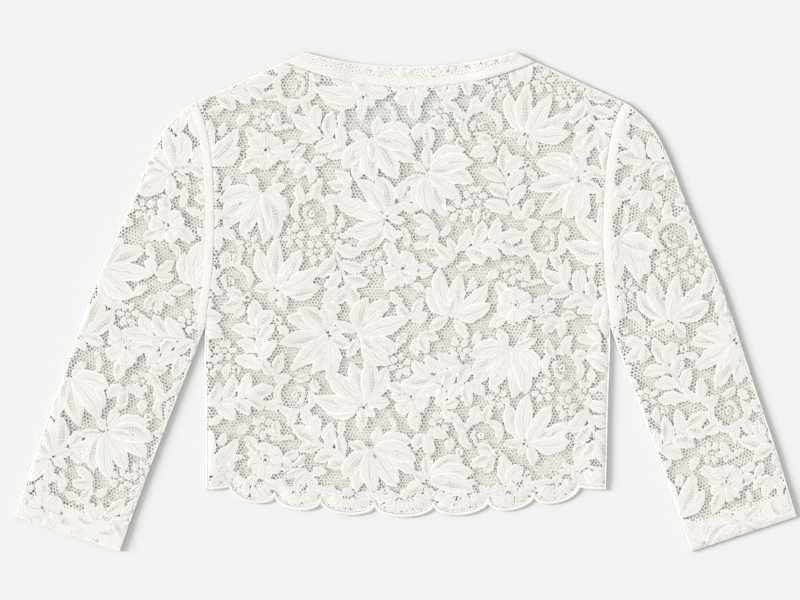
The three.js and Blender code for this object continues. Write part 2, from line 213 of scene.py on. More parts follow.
def edge(kind, start, end, across, down):
    """One edge of a cut piece, as functions of a share between two ends."""
    rough_share = np.linspace(start, end, ROUGH_STEPS)
    rough = plan(across(rough_share), down(rough_share))
    steps = max(2, int(np.linalg.norm(np.diff(rough, axis=0), axis=1).sum() / EDGE_STEP))
    share = np.linspace(start, end, steps + 1)
    return kind, plan(across(share), down(share))


def mirrored(edges, side):
    """The same edges for the other side of the body."""
    if side > 0:
        return edges
    flipped = []
    for kind, points in reversed(edges):
        across, down = draft(points)
        flipped.append((kind, plan(-across, down)[::-1]))
    return flipped


side_seam = edge("side", HEM_MIDDLE, UNDERARM, body_half, lambda down: down)
print("a side seam is an edge of", len(side_seam[1]), "points")

# %% A cut piece
class Piece:
    """A cut piece of cloth: its edges, its height over the table, and its right side."""

    def __init__(self, name, edges, height, face=1):
        self.name, self.height, self.face = name, height, face
        self.kinds = np.concatenate([[kind] * (len(points) - 1) for kind, points in edges])
        self.start = np.concatenate([points[:-1] for _, points in edges])
        self.end = np.roll(self.start, -1, axis=0)
        self.outline = self.start

    def inside(self, points):
        """Which points lie within the outline, by counting the edges to their right."""
        hit = np.zeros(len(points), bool)
        for (ax, ay), (bx, by) in zip(self.start, self.end):
            if ay == by:
                continue
            spans = (ay > points[:, 1]) != (by > points[:, 1])
            hit ^= spans & (points[:, 0] < ax + (points[:, 1] - ay) * (bx - ax) / (by - ay))
        return hit

    def reach(self, points):
        """The distance to each kind of edge, and the nearest point of the outline."""
        far = {kind: np.full(len(points), FAR) for kind in set(self.kinds)}
        nearest, best = np.zeros_like(points), np.full(len(points), FAR)
        for kind, a, b in zip(self.kinds, self.start, self.end):
            ab = b - a
            t = np.clip((points - a) @ ab / max(ab @ ab, 1e-9), 0, 1)
            foot = a + t[:, None] * ab
            gap = np.hypot(*(points - foot).T)
            far[kind] = np.minimum(far[kind], gap)
            closer = gap < best
            best[closer] = gap[closer]
            nearest[closer] = foot[closer]
        far["any"] = best
        return far, nearest

    def area(self):
        """The flat area, in square metres."""
        (ax, ay), (bx, by) = self.start.T, self.end.T
        return abs(float((ax * by - bx * ay).sum())) / 2 * MM * MM

    def box(self):
        return self.outline.min(0), self.outline.max(0)


def far_from(reach, *kinds):
    """The distance to the nearest of some kinds of edge."""
    return np.min([reach.get(kind, FAR + 0 * reach["any"]) for kind in kinds], axis=0)


square = plan(np.array([0, 10, 10, 0, 0]), np.array([0, 0, 10, 10, 0]))
print("a square of 10 mm has", round(Piece("square", [("hem", square)], None).area() / MM**2), "mm2")

# %% [markdown]
# ## Where each piece lies
# The heights follow the solids. The back rides over the fronts, rises beside the side seams
# where the cloth turns over, and rises beside the armholes, over the sleeves' allowances. A
# few long soft swells keep it from lying dead flat. A sleeve is a tube pressed flat: both
# long edges are round folds, and its upper layer stands a little off the lower one.

# %% The sizes that set the heights
SEAM_SINK = 0.15  # how far a seam pulls the lace down, and how wide that furrow is
SEAM_WIDE = 2.2
FRONT_HEIGHT = WALL / 2
LOFT = 1.1  # worn lace never presses quite flat: the upper layers stand off the lower ones
LOFT_FROM = 14  # the loft is whole this far from the hem
HEM_DROP = 0.4  # the last of the hem lies lower still
HEM_DROP_FROM = 6
SIDE_HEIGHT = 2.6  # of the back at a side seam, and how far in it has rounded over
SIDE_ROUND = 1.2
UNDER_SIDE_HEIGHT = 0.9  # the same for a front
UNDER_SIDE_ROUND = 2.2
TURN_RISE = 0.5  # of the back beside a side seam, where the cloth turns
TURN_NEAR = 6  # the distances at which that rise is reached, still kept, and gone
TURN_KEEP = 8
TURN_FAR = 24
ARMHOLE_RISE = 0.4  # of the back beside an armhole, over the sleeve's allowance
ARMHOLE_NEAR = 1
ARMHOLE_FAR = 16
UNDERARM_SOFT = 6  # how far above and below the underarm one rise gives way to the other
SLEEVE_HIGH = 3.8  # the folded edge of a sleeve
CUFF_RISE = 0.5  # the cuff has four layers
CUFF_SOFT = 5
ALLOWANCE_RISE = 0.4  # of a sleeve beside its armhole
ALLOWANCE_NEAR = 6
ALLOWANCE_FAR = 24
END_DROP = 0.9  # the end of a sleeve is pressed down
END_DROP_FROM = 3
FOLD_RADIUS = 0.5
LIFT_FROM = 0.45  # shares of the neck's half width: the band rises onto the fronts' band
LIFT_FULL = 0.72
BAND_HEIGHT = 3 * WALL + 2 * GAP
BAND_SEAM_DROP = 0.5
BAND_SEAM_FROM = 1.5

# long low ridges: across, down, length, width, turn in degrees, height
SWELLS = [
    (-150, 330, 120, 16, 62, 0.9), (158, 350, 130, 18, -66, 1.0), (-60, 140, 110, 20, 12, 0.7),
    (85, 215, 120, 17, -24, 0.8), (-20, 400, 150, 19, 8, 0.8), (330, 380, 60, 12, -35, 0.7),
    (-322, 360, 66, 13, 38, 0.8), (262, 200, 52, 12, -62, 0.7), (-258, 214, 56, 11, 58, 0.7),
]
print(len(SWELLS), "swells, and the neckband is", BAND_HEIGHT, "mm high")

# %% Heights of the body
def round_over(far, radius):
    """0 at an edge and 1 from a radius on, along a quarter of a circle."""
    left = 1 - np.clip(far / radius, 0, 1)
    return np.sqrt(1 - left**2)


def swell(across, down):
    high = 0 * across
    for middle, level, long, wide, turn, top in SWELLS:
        c, s = math.cos(math.radians(turn)), math.sin(math.radians(turn))
        dx, dy = across - middle, level - down
        high = high + top * np.exp(-(((dx * c + dy * s) / long) ** 2) - ((dy * c - dx * s) / wide) ** 2)
    return high


def seam_dip(reach):
    return SEAM_SINK * (1 - smooth(far_from(reach, "seam"), 0, SEAM_WIDE))


def back_height(across, down, reach):
    inside = np.maximum(body_half(down) - np.abs(across), 0)
    turned = TURN_RISE * smooth(inside, 0, TURN_NEAR) * (1 - smooth(inside, TURN_KEEP, TURN_FAR))
    beside = ARMHOLE_RISE * (1 - smooth(inside, ARMHOLE_NEAR, ARMHOLE_FAR))
    rise = lerp(beside, turned, smooth(down, UNDERARM - UNDERARM_SOFT, UNDERARM + UNDERARM_SOFT))
    from_hem = far_from(reach, "hem")
    loft = LOFT * smooth(from_hem, 0, LOFT_FROM) - HEM_DROP * (1 - smooth(from_hem, 0, HEM_DROP_FROM))
    high = LAYER + WALL / 2 + loft + rise + swell(across, down) - seam_dip(reach)
    return lerp(SIDE_HEIGHT, high, round_over(far_from(reach, "side"), SIDE_ROUND))


def front_height(across, down, reach):
    share = round_over(far_from(reach, "side"), UNDER_SIDE_ROUND)
    return lerp(UNDER_SIDE_HEIGHT, FRONT_HEIGHT, share)


far_off = {"any": np.array([FAR])}
high = float(back_height(np.array([0.0]), np.array([250.0]), far_off)[0])
print("the middle of the back lies", round(high, 2), "mm over the table")

# %% Heights of the sleeves and the neckband
def sleeve_edge(reach):
    """The height of a sleeve's folded edges: two layers, four at the cuff."""
    by_armhole = ALLOWANCE_RISE * (1 - smooth(far_from(reach, "seam"), ALLOWANCE_NEAR, ALLOWANCE_FAR))
    by_cuff = CUFF_RISE * (1 - smooth(reach["hem"], CUFF_DEPTH, CUFF_DEPTH + CUFF_SOFT))
    return SLEEVE_HIGH + by_cuff + by_armhole


def fold_roll(reach):
    """How far below the flat a fold's edge has turned, in the last half millimetre."""
    return FOLD_RADIUS * (1 - round_over(far_from(reach, "fold"), FOLD_RADIUS))


def sleeve_top(across, down, reach):
    flat = sleeve_edge(reach) - WALL / 2 + swell(across, down)
    end = END_DROP * (1 - smooth(reach["hem"], 0, END_DROP_FROM))
    return flat - end - seam_dip(reach) - fold_roll(reach)


def sleeve_bottom(across, down, reach):
    return FRONT_HEIGHT + fold_roll(reach)


def band_lift(across):
    middle = (NECK_HALF + NECK_SEAM_HALF) / 2
    return LAYER * smooth(np.abs(across) / middle, LIFT_FROM, LIFT_FULL)


def band_top(across, down, reach):
    sewn_down = BAND_SEAM_DROP * (1 - smooth(far_from(reach, "seam"), 0, BAND_SEAM_FROM))
    flat = BAND_HEIGHT - WALL / 2 - sewn_down
    return band_lift(across) + flat - fold_roll(reach)


def band_bottom(across, down, reach):
    return band_lift(across) + FRONT_HEIGHT + fold_roll(reach)


def at_height(level):
    return lambda across, down, reach: np.full(len(across), level)


print("the neckband rises by up to", float(band_lift(np.array([NECK_HALF]))[0]), "mm")

# %% Edges of the body and the sleeves
def itself(value):
    return value


def straight(start, end):
    """A size that runs evenly from one value to another."""
    return lambda share: lerp(start, end, share)


def shoulder(across):
    return (across - NECK_HALF) * SHOULDER_SLOPE


def armhole(down):
    return body_half(down) + SEAM_GAP


def body_edges(neck):
    """The right half of a body panel, from the hem to the neck seam."""
    return [
        edge("hem", 0, HEM_HALF, itself, hem),
        edge("side", float(hem(HEM_HALF)), UNDERARM, body_half, itself),
        edge("seam", UNDERARM, SHOULDER_DOWN, body_half, itself),
        edge("side", BODY_HALF[0], NECK_SEAM_HALF, itself, shoulder),
        edge("seam", NECK_SEAM_HALF, 0, itself, neck),
    ]


def by_row(values):
    """A column of the sleeve's table, as a smooth function of the row."""
    return lambda row: along(np.arange(len(values)), values, row)


def sleeve_edges(first=0):
    """A sleeve from one row of its table to the cuff."""
    last = len(SLEEVE_OUT_ACROSS) - 1
    out_across, out_down = by_row(SLEEVE_OUT_ACROSS), by_row(SLEEVE_OUT_DOWN)
    in_across, in_down = by_row(SLEEVE_IN_ACROSS), by_row(SLEEVE_IN_DOWN)

    def across_at(kind, row, start, end):
        """A straight edge at a row, from one fold to the other."""
        (x0, y0), (x1, y1) = [(across(row), down(row)) for across, down in (start, end)]
        return edge(kind, 0, 1, straight(x0, x1), straight(y0, y1))

    outer, inner = (out_across, out_down), (in_across, in_down)
    edges = [
        edge("fold", first, last, *outer), across_at("hem", last, outer, inner),
        edge("fold", last, first, *inner),
    ]
    if first == 0:
        edges.append(edge("seam", SLEEVE_IN_DOWN[0], SLEEVE_OUT_DOWN[0], armhole, itself))
    else:
        edges.append(across_at("open", first, inner, outer))
    return edges


print("a body panel has", len(body_edges(back_neck)), "edges to a side, a sleeve", len(sleeve_edges()))

# %% Edges of the neckband
def band_fold(u):
    return NECK_HALF * u, NECK_DIP * (1 - np.abs(u) ** NECK_POWER)


def band_seam(u):
    return NECK_SEAM_HALF * u, back_neck(NECK_SEAM_HALF * u)


def band_front_seam(u):
    return NECK_SEAM_HALF * u, front_neck(NECK_SEAM_HALF * u)


def band_front_fold(u):
    fall = np.cos(u * math.pi / 2) ** FRONT_NECK_POWER
    return NECK_HALF * u, (FRONT_NECK_DEPTH - BAND_DEPTH) * fall


def strip_edges(one, other, first, last, kinds):
    """A strip between two curves, each given as a function of the same share."""
    def between(share, start, end):
        """A straight edge from one curve to the other."""
        (x0, y0), (x1, y1) = start(share), end(share)
        return edge(kinds[2], 0, 1, straight(x0, x1), straight(y0, y1))

    return [
        edge(kinds[0], first, last, lambda u: one(u)[0], lambda u: one(u)[1]),
        between(last, one, other),
        edge(kinds[1], last, first, lambda u: other(u)[0], lambda u: other(u)[1]),
        between(first, other, one),
    ]


print("the band's fold dips by", band_fold(0)[1], "mm")

# %% Cut the pieces
CENTRE_FRONT = 0.01  # the share at which a front stretch of the neckband starts
half = body_edges(back_neck)
PIECES = {"back": Piece("back", half + mirrored(half, -1), back_height)}
for side, word in SIDES:
    front = body_edges(front_neck)
    front.append(("open", np.array([front[-1][1][-1], front[0][1][0]])))
    PIECES["front_" + word] = Piece("front_" + word, mirrored(front, side), front_height, face=-1)
    sleeve = mirrored(sleeve_edges(), side)
    PIECES["sleeve_top_" + word] = Piece("sleeve_top_" + word, sleeve, sleeve_top)
    PIECES["sleeve_under_" + word] = Piece("sleeve_under_" + word, sleeve, sleeve_bottom, face=-1)
    band = strip_edges(band_front_fold, band_front_seam, CENTRE_FRONT, 1, ("hem", "seam", "seam"))
    PIECES["band_" + word] = Piece("band_" + word, mirrored(band, side), at_height(FRONT_HEIGHT), face=-1)
band = strip_edges(band_fold, band_seam, -1, 1, ("fold", "seam", "open"))
PIECES["band_top"] = Piece("band_top", band, band_top)
PIECES["band_under"] = Piece("band_under", band, band_bottom, face=-1)
for name, piece in PIECES.items():
    print(f"{name}: {piece.area():.4f} m2, {len(piece.start)} edge points")

# %% [markdown]
# ## The lace's repeat
# Allover lace is knitted on a wide machine, and its picture comes back every so often. The
# repeat here is one piece of paper, 262 by 325 mm, on which sprays are placed one by one:
# lilies of broad leaves, palms, daisies and scrolls. What room is left is filled with
# sprigs, rosettes, curled leaves, strings of beads and eyelets, as a lace draughtsman does,
# so that the net shows only in narrow channels. The next column of repeats lies half a
# repeat lower, as brick courses do. Every leaf, petal and bud is one of seven shapes.

# %% Seven stitched shapes
# name: how far the midline turns in degrees, how the width swells from the root and falls
# to the tip, and the usual width for a length of 1
SHAPES = {
    "leaf": (0, 0.85, 0.8, 0.38),
    "leaf_left": (40, 0.85, 0.85, 0.4),
    "leaf_right": (-40, 0.85, 0.85, 0.4),
    "petal": (0, 0.7, 0.32, 0.86),
    "bud": (0, 0.5, 0.5, 0.6),
    "crescent": (130, 0.5, 0.6, 0.36),
    "ring": (360, 0, 0, 0.33),
}
SHAPE_NAMES = list(SHAPES)
RING_MIDDLE = 0.34  # the radius of a ring of length 1, to the middle of its band


def midline(shape, s):
    """Points and headings of a shape's midline, from (0, 0) to (1, 0)."""
    sweep = math.radians(SHAPES[shape][0])
    if shape == "ring":
        turn = sweep * s
        return 0.5 - RING_MIDDLE * np.cos(turn), RING_MIDDLE * np.sin(turn), math.pi / 2 - turn
    if sweep == 0:
        return s, 0 * s, 0 * s
    heading = sweep * (0.5 - s)
    radius = 0.5 / math.sin(sweep / 2)
    return 0.5 - radius * np.sin(heading), radius * (np.cos(heading) - math.cos(sweep / 2)), heading


def half_width(shape, s):
    _, root, tip, wide = SHAPES[shape]
    if shape == "ring":
        return 0 * s + wide / 2
    peak = root / (root + tip)
    return wide / 2 * s**root * (1 - s) ** tip / (peak**root * (1 - peak) ** tip)


def surface(shape, s, t):
    """A point of a shape of length 1: s runs along it, t from one edge (-1) to the other."""
    x, y, heading = midline(shape, s)
    out = half_width(shape, s) * t
    return x - np.sin(heading) * out, y + np.cos(heading) * out


print(len(SHAPE_NAMES), "shapes:", ", ".join(SHAPE_NAMES))

# %% Sprays, each a list of (shape, x, y, turn, length, width)
def turned(pieces, turn, x=0.0, y=0.0):
    """The same pieces, turned about the origin and then moved."""
    c, s = math.cos(math.radians(turn)), math.sin(math.radians(turn))
    return [(shape, x + px * c - py * s, y + px * s + py * c, at + turn, long, wide)
            for shape, px, py, at, long, wide in pieces]


def polar(radius, turn):
    """A point at a distance from the origin, in a direction in degrees."""
    return radius * math.cos(math.radians(turn)), radius * math.sin(math.radians(turn))


def leaf_kind(side):
    """Leaves in the middle of a fan are straight, and the others curl outwards."""
    if abs(side) < 0.3:
        return "leaf"
    return "leaf_left" if side > 0 else "leaf_right"


def lily(draw):
    """Broad leaves fanning out of one root, with small ones behind it."""
    count = draw.choice((5, 6, 6, 7))
    spread = draw.uniform(52, 72)
    out = []
    for i in sorted(range(count), key=lambda i: -abs(2 * i - count + 1)):
        side = 2 * i / (count - 1) - 1
        long = draw.uniform(46, 56) * (1 - 0.22 * abs(side) ** 1.5)
        place = (-22 + 4 * abs(side), 2.5 * side, spread * side + draw.uniform(-5, 5))
        wide = draw.uniform(16.5, 21)
        out.append((leaf_kind(side), *place, long, wide))
        if draw.random() < 0.5:
            out.append(("leaf", *place, long * draw.uniform(0.55, 0.72), wide * 0.55))
    for side in (-1, 1):
        turn = 180 + side * draw.uniform(-58, -30)
        out.append(("leaf", -20, 3 * side, turn, draw.uniform(20, 27), draw.uniform(10, 13)))
    if draw.random() < 0.5:
        out.append(("leaf", -21, 0, draw.uniform(172, 188), draw.uniform(14, 20), 9))
    return out


def palm(draw):
    """Leaves in turn on both sides of a stem, with one at its end."""
    out = [("leaf", 6, 0, draw.uniform(-12, 12), 34, 15)]
    for i in range(6):
        side = 1 if i % 2 else -1
        shape = "leaf_right" if side > 0 else "leaf_left"
        long = draw.uniform(25, 33) * (0.85 + 0.06 * (i // 2))
        turn = side * draw.uniform(40, 62)
        out.append((shape, 9 - 8.5 * i, 1.2 * side, turn, long, draw.uniform(12, 15.5)))
    out.append(("leaf", 14, 0, 180, 46, 5))
    return out


def daisy(draw):
    """Six petals round an eyelet, with leaves behind."""
    out = []
    for turn in (draw.uniform(-30, 0), draw.uniform(95, 130), draw.uniform(190, 240)):
        out.append(("leaf", *polar(9, turn), turn, draw.uniform(19, 27), draw.uniform(11, 14)))
    start = draw.uniform(0, 60)
    for i in range(6):
        turn = start + 60 * i + draw.uniform(-5, 5)
        out.append(("petal", *polar(2.4, turn), turn, draw.uniform(15, 19), draw.uniform(14, 16.5)))
    out.append(("ring", -4, 0, 0, 8, 2.8))
    return out


def scroll(draw):
    """Crescents that curl round an eyelet, and leaves on their outside."""
    out = []
    start = draw.uniform(0, 360)
    for radius, count, size in ((13.5, 3, 21), (6.5, 2, 12)):
        for i in range(count):
            turn = start + 84 * i + draw.uniform(-8, 8)
            long = size * draw.uniform(0.85, 1.15)
            crescent = ("crescent", -size / 2, -2, 0, long, size * 0.4)
            out += turned([crescent], turn - 90, *polar(radius, turn))
        start += 150
    for i in range(3):
        turn = start + 100 + 42 * i
        place = (*polar(13, turn), turn + draw.uniform(-30, 10))
        out.append(("leaf_left", *place, draw.uniform(18, 26), draw.uniform(10, 12)))
    out.append(("ring", -3.5, 0, 0, 7, 2.4))
    return out


def sprig(draw):
    """Three small leaves from one root."""
    out = []
    for side in (-1, 1, 0):
        turn = side * draw.uniform(38, 60) + draw.uniform(-8, 8)
        shape = ("leaf_right", "leaf", "leaf_left")[side + 1]
        out.append((shape, -12, 0, turn, draw.uniform(19, 26), draw.uniform(10, 12.5)))
    return out


def twig(draw):
    """A curled leaf with a bud beside it."""
    return [
        ("leaf_left", -11, -1, draw.uniform(-10, 10), draw.uniform(19, 24), draw.uniform(9, 11)),
        ("bud", -7, -3, draw.uniform(-75, -40), draw.uniform(10, 13), draw.uniform(7, 8.5)),
    ]


def rosette(draw):
    """Small petals close round a bud."""
    out = [("bud", -2.6, 0, 0, 5.2, 4.6)]
    start = draw.uniform(0, 60)
    for i in range(6):
        turn = start + 60 * i + draw.uniform(-9, 9)
        out.append(("bud", *polar(3.4, turn), turn, draw.uniform(7.5, 11), draw.uniform(5.4, 6.8)))
    return out


def beads(draw):
    """A bent string of small buds."""
    bend = draw.uniform(-4, 4)
    out = []
    for i in range(-2, 3):
        place = (4.4 * i, bend * i * i / 4 - 2.8, 90 + draw.uniform(-20, 20))
        out.append(("bud", *place, draw.uniform(6, 8), 5.2))
    return out


def comma(draw):
    """One curled leaf."""
    return [("leaf_right", -8, 0, 0, draw.uniform(15, 19), draw.uniform(8, 10))]


def drop(draw):
    """One bud."""
    return [("bud", -5, 0, 0, draw.uniform(9.5, 12), draw.uniform(6.5, 8))]


def eyelet(draw):
    """One small ring."""
    return [("ring", -4.5, 0, 0, draw.uniform(8, 10), 2.8)]


for spray in (lily, palm, daisy, scroll, sprig):
    print("a", spray.__name__, "has", len(spray(random.Random(1))), "pieces")

# %% The chart of one repeat
REPEAT_WIDE = 262
REPEAT_LONG = 325
CHART_SEED = 7
ROOM_STEP = 2.0  # millimetres, the squares on which the filler looks for room
PLACE_PLAY = 3  # how far a spray may stray from its place on the chart
SPOT_EVERY = 2  # squares from one place that the filler tries to the next

# spray, across, up, turn
CHART = [
    (lily, 38, 30, 75), (daisy, 101, 24, 10), (palm, 160, 36, 150), (lily, 222, 18, -60),
    (palm, 70, 88, 15), (scroll, 128, 88, 0), (lily, 190, 94, 125), (daisy, 250, 84, 40),
    (lily, 22, 150, -35), (palm, 88, 150, 100), (lily, 146, 146, 205), (lily, 214, 158, 20),
    (scroll, 60, 212, 20), (lily, 118, 216, 60), (palm, 182, 216, -70), (daisy, 242, 222, 0),
    (palm, 22, 272, -160), (lily, 86, 282, -110), (scroll, 146, 282, 30), (lily, 206, 278, 165),
    (sprig, 250, 300, 30), (sprig, 4, 100, 200), (sprig, 110, 118, 60), (sprig, 168, 182, -20),
]

# what fills a gap of a given radius, and how often
FILLERS = [
    (11.5, 0.95, (sprig, sprig, rosette)), (9, 0.85, (twig, rosette, beads)), (7, 0.75, (comma,)),
    (5.2, 0.12, (eyelet,)), (5.2, 0.75, (drop,)),
]


def footprint(piece, rows=26, columns=9):
    """Points all over one placed piece."""
    shape, x, y, turn, long, wide = piece
    s, t = np.meshgrid(np.linspace(0, 1, rows), np.linspace(-1, 1, columns))
    px, py = surface(shape, s, t)
    px, py = px * long, py * wide / SHAPES[shape][3]
    c, d = math.cos(math.radians(turn)), math.sin(math.radians(turn))
    return x + px * c - py * d, y + px * d + py * c


def chart_repeat():
    """Every piece of one repeat: the sprays of the chart, and what fills the gaps."""
    draw = random.Random(CHART_SEED)
    pieces = []
    for spray, across, up, turn in CHART:
        x = across + draw.uniform(-PLACE_PLAY, PLACE_PLAY)
        y = up + draw.uniform(-PLACE_PLAY, PLACE_PLAY)
        pieces += turned(spray(draw), turn, x, y)
    wide, long = int(REPEAT_WIDE / ROOM_STEP), int(REPEAT_LONG / ROOM_STEP)
    taken = np.zeros((wide, long), bool)

    def squares(i, j):
        """The repeat's squares for any squares of the endless cloth."""
        return i % wide, (j - i // wide * (long // 2)) % long

    def mark(piece):
        columns, rows = [np.floor(values / ROOM_STEP).astype(int) for values in footprint(piece)]
        taken[squares(columns, rows)] = True

    for piece in pieces:
        mark(piece)
    for reach, chance, sprays in FILLERS:
        span = np.arange(-int(reach / ROOM_STEP), int(reach / ROOM_STEP) + 1)
        dx, dy = np.meshgrid(span, span)
        near = dx**2 + dy**2 <= (reach / ROOM_STEP) ** 2
        spots = [(i, j) for i in range(0, wide, SPOT_EVERY) for j in range(0, long, SPOT_EVERY)]
        draw.shuffle(spots)
        for i, j in spots:
            if taken[squares(i + dx[near], j + dy[near])].any():
                continue
            if draw.random() > chance:
                taken[i, j] = True
                continue
            spray = draw.choice(sprays)
            for piece in turned(spray(draw), draw.uniform(0, 360), i * ROOM_STEP, j * ROOM_STEP):
                pieces.append(piece)
                mark(piece)
    return pieces, taken.mean()


REPEAT, cover = chart_repeat()
print(f"one repeat holds {len(REPEAT)} pieces and they cover {cover:.0%} of it")

# %% [markdown]
# ## The stitched shapes as small meshes
# Each shape is a thin patch. Its rim stands up a little, like a cord, its filling is lower,
# and a vein is pressed into it. The patches are made once and used hundreds of times, so
# they have few faces: a fine set for the right side of the upper layers, and a plain one for
# the layers below. Every corner keeps its place on the leaf, along and across it, so that the
# finish can draw the stitches and paint light and shade on them: a packed rim with a painted
# highlight, a thin line for the vein with painted shade, and a sheer slit painted in shade.

# %% The library of shapes
RIM_PROFILE = [0.0, 0.10, 0.36, 0.60, 0.72, 0.80, 0.88, 1.0]  # distance from the vein
RIM_HEIGHT = [0.23, 0.24, 0.26, 0.26, 0.26, 0.27, 0.28, 0.17]  # millimetres
END_PLACES = [0, 0.03, 0.1, 0.2, 0.8, 0.9, 0.97, 1]  # how the rim closes at both ends
END_RIM = [1, 0.92, 0.84, 0, 0, 0.84, 0.92, 1]
NO_VEIN = 0.36

EVEN_SHARE = 0.35  # how evenly the rows are spread: the rest of them crowd towards the ends
RING_TALL = 0.6  # millimetres
ROOT_END = 0.1  # no vein shows nearer to the root, or to the tip
TIP_END = 0.8
MERGE = 1e-5  # metres

# for each shape its rows, and its columns from the edge to the vein
FINE_LEAF = [1, 0.86, 0.5, 0]
PLAIN_LEAF = [1, 0.85, 0.6, 0]
FINE_CUTS = {
    "leaf": (12, FINE_LEAF), "leaf_left": (12, FINE_LEAF), "leaf_right": (12, FINE_LEAF),
    "petal": (7, [1, 0.85, 0.6, 0]),
    "bud": (6, [1, 0.8, 0.5, 0]), "crescent": (9, [1, 0.8, 0.5, 0]), "ring": (14, [1, 0.45]),
}
PLAIN_CUTS = {
    "leaf": (6, PLAIN_LEAF), "leaf_left": (6, PLAIN_LEAF), "leaf_right": (6, PLAIN_LEAF),
    "petal": (5, [1, 0.7, 0]),
    "bud": (5, [1, 0.7, 0]), "crescent": (7, [1, 0.7, 0]), "ring": (10, [1, 0]),
}
VEINED = ("leaf", "leaf_left", "leaf_right", "petal")


def store(mesh, label, kind, values):
    """Keeps a value for each point of a mesh, under a name."""
    field = "vector" if kind == "FLOAT_VECTOR" else "value"
    mesh.attributes.new(label, kind, "POINT").data.foreach_set(field, np.ravel(values))


def shape_mesh(shape, rows, half):
    """One shape, with a length of 1 m and its relief at its real size."""
    t = np.array([-v for v in half] + [v for v in reversed(half) if v > 0])
    crowded = (1 - np.cos(np.linspace(0, math.pi, rows + 1))) / 2
    s = lerp(crowded, np.linspace(0, 1, rows + 1), EVEN_SHARE)
    if shape == "ring":
        s = np.linspace(0, 1, rows + 1)[:-1]
    along_it, across_it = np.meshgrid(s, t, indexing="ij")
    x, y = surface(shape, along_it, across_it)
    if shape == "ring":
        high = RING_TALL * np.sqrt(1 - across_it**2)
    else:
        rim = np.maximum(np.abs(across_it), np.interp(along_it, END_PLACES, END_RIM))
        near_end = (along_it < ROOT_END) | (along_it > TIP_END)
        if shape not in VEINED:
            near_end = along_it >= 0
        rim = np.where(near_end, np.maximum(rim, NO_VEIN), rim)
        high = np.interp(rim, RIM_PROFILE, RIM_HEIGHT)
    points = np.stack([x, y, high * MM], -1).reshape(-1, 3)
    columns = len(t)
    faces = []
    for i in range(rows):
        after = (i + 1) % len(s)
        for j in range(columns - 1):
            row, row_after = i * columns, after * columns
            faces.append((row + j, row_after + j, row_after + j + 1, row + j + 1))
    mesh = bpy.data.meshes.new(shape)
    mesh.from_pydata([tuple(p) for p in points], [], faces)
    store(mesh, "place", "FLOAT_VECTOR", np.stack([along_it, across_it, 0 * along_it], -1))
    work = bmesh.new()
    work.from_mesh(mesh)
    bmesh.ops.remove_doubles(work, verts=work.verts, dist=MERGE)
    for face in work.faces:
        face.normal_update()
    bmesh.ops.reverse_faces(work, faces=[face for face in work.faces if face.normal.z < 0])
    work.to_mesh(mesh)
    work.free()
    return mesh


def shape_library(name, cuts):
    """A collection of the shapes, in the order of their names in SHAPES."""
    library = bpy.data.collections.new(name)
    for number, shape in enumerate(SHAPE_NAMES):
        mesh = shape_mesh(shape, *cuts[shape])
        library.objects.link(bpy.data.objects.new(f"{name}_{number}", mesh))
    faces = [len(o.data.polygons) for o in library.objects]
    print(name, "has", dict(zip(SHAPE_NAMES, faces)), "faces")
    return library


FINE = shape_library("fine_shapes", FINE_CUTS)
PLAIN = shape_library("plain_shapes", PLAIN_CUTS)

# %% [markdown]
# ## Node trees, written as expressions
# Geometry Nodes and materials are both built below. A small class wraps a socket so that
# Python's operators add Math nodes, and one method adds any other node.

# %% A socket that takes part in arithmetic
class Value:
    """A socket that takes part in arithmetic."""

    def __init__(self, graph, socket):
        self.graph, self.socket = graph, socket

    def math(self, operation, *others):
        node = self.graph.tree.nodes.new("ShaderNodeMath")
        node.operation = operation
        for k, value in enumerate(others):
            self.graph.put(node.inputs[k], value)
        return Value(self.graph, node.outputs[0])

    def __add__(self, other):
        return self.math("ADD", self, other)

    def __radd__(self, other):
        return self.math("ADD", other, self)

    def __sub__(self, other):
        return self.math("SUBTRACT", self, other)

    def __rsub__(self, other):
        return self.math("SUBTRACT", other, self)

    def __mul__(self, other):
        return self.math("MULTIPLY", self, other)

    def __rmul__(self, other):
        return self.math("MULTIPLY", other, self)

    def __truediv__(self, other):
        return self.math("DIVIDE", self, other)

    def __mod__(self, other):
        return self.math("MODULO", self, other)

    def __lt__(self, other):
        return self.math("LESS_THAN", self, other)

    def __gt__(self, other):
        return self.math("GREATER_THAN", self, other)

    def up(self):
        return self.math("CEIL", self)

    def size(self):
        return self.math("ABSOLUTE", self)

    def sine(self):
        return self.math("SINE", self)

    def sign(self):
        return self.math("SIGN", self)

    def least(self, other):
        return self.math("MINIMUM", self, other)

    def most(self, other):
        return self.math("MAXIMUM", self, other)


print("a socket knows", sum(callable(method) for method in vars(Value).values()), "methods")

# %% A node tree that is being built
class Graph:
    """A node tree that is being built."""

    def __init__(self, tree):
        self.tree = tree

    def put(self, socket, value):
        if isinstance(value, Value):
            value = value.socket
        if isinstance(value, bpy.types.NodeSocket):
            self.tree.links.new(value, socket)
        else:
            socket.default_value = value

    def add(self, kind, settings=None, sockets=None):
        """Any node: its type, its settings, and its sockets by name or number."""
        node = self.tree.nodes.new(kind)
        for name, value in (settings or {}).items():
            setattr(node, name, value)
        for name, value in (sockets or {}).items():
            self.put(node.inputs[name], value)
        return node

    def value(self, kind, output, settings=None, sockets=None):
        return Value(self, self.add(kind, settings, sockets).outputs[output])

    def step(self, value, start, end):
        """0 up to start, 1 from end, and soft between them."""
        return self.value("ShaderNodeMapRange", "Result", {"interpolation_type": "SMOOTHSTEP"}, {
            "Value": value, "From Min": start, "From Max": end,
        })

    def vector(self, operation, *others):
        node = self.add("ShaderNodeVectorMath", {"operation": operation})
        for k, value in enumerate(others):
            self.put(node.inputs["Scale" if operation == "SCALE" and k == 1 else k], value)
        return node.outputs["Value" if operation == "LENGTH" else "Vector"]


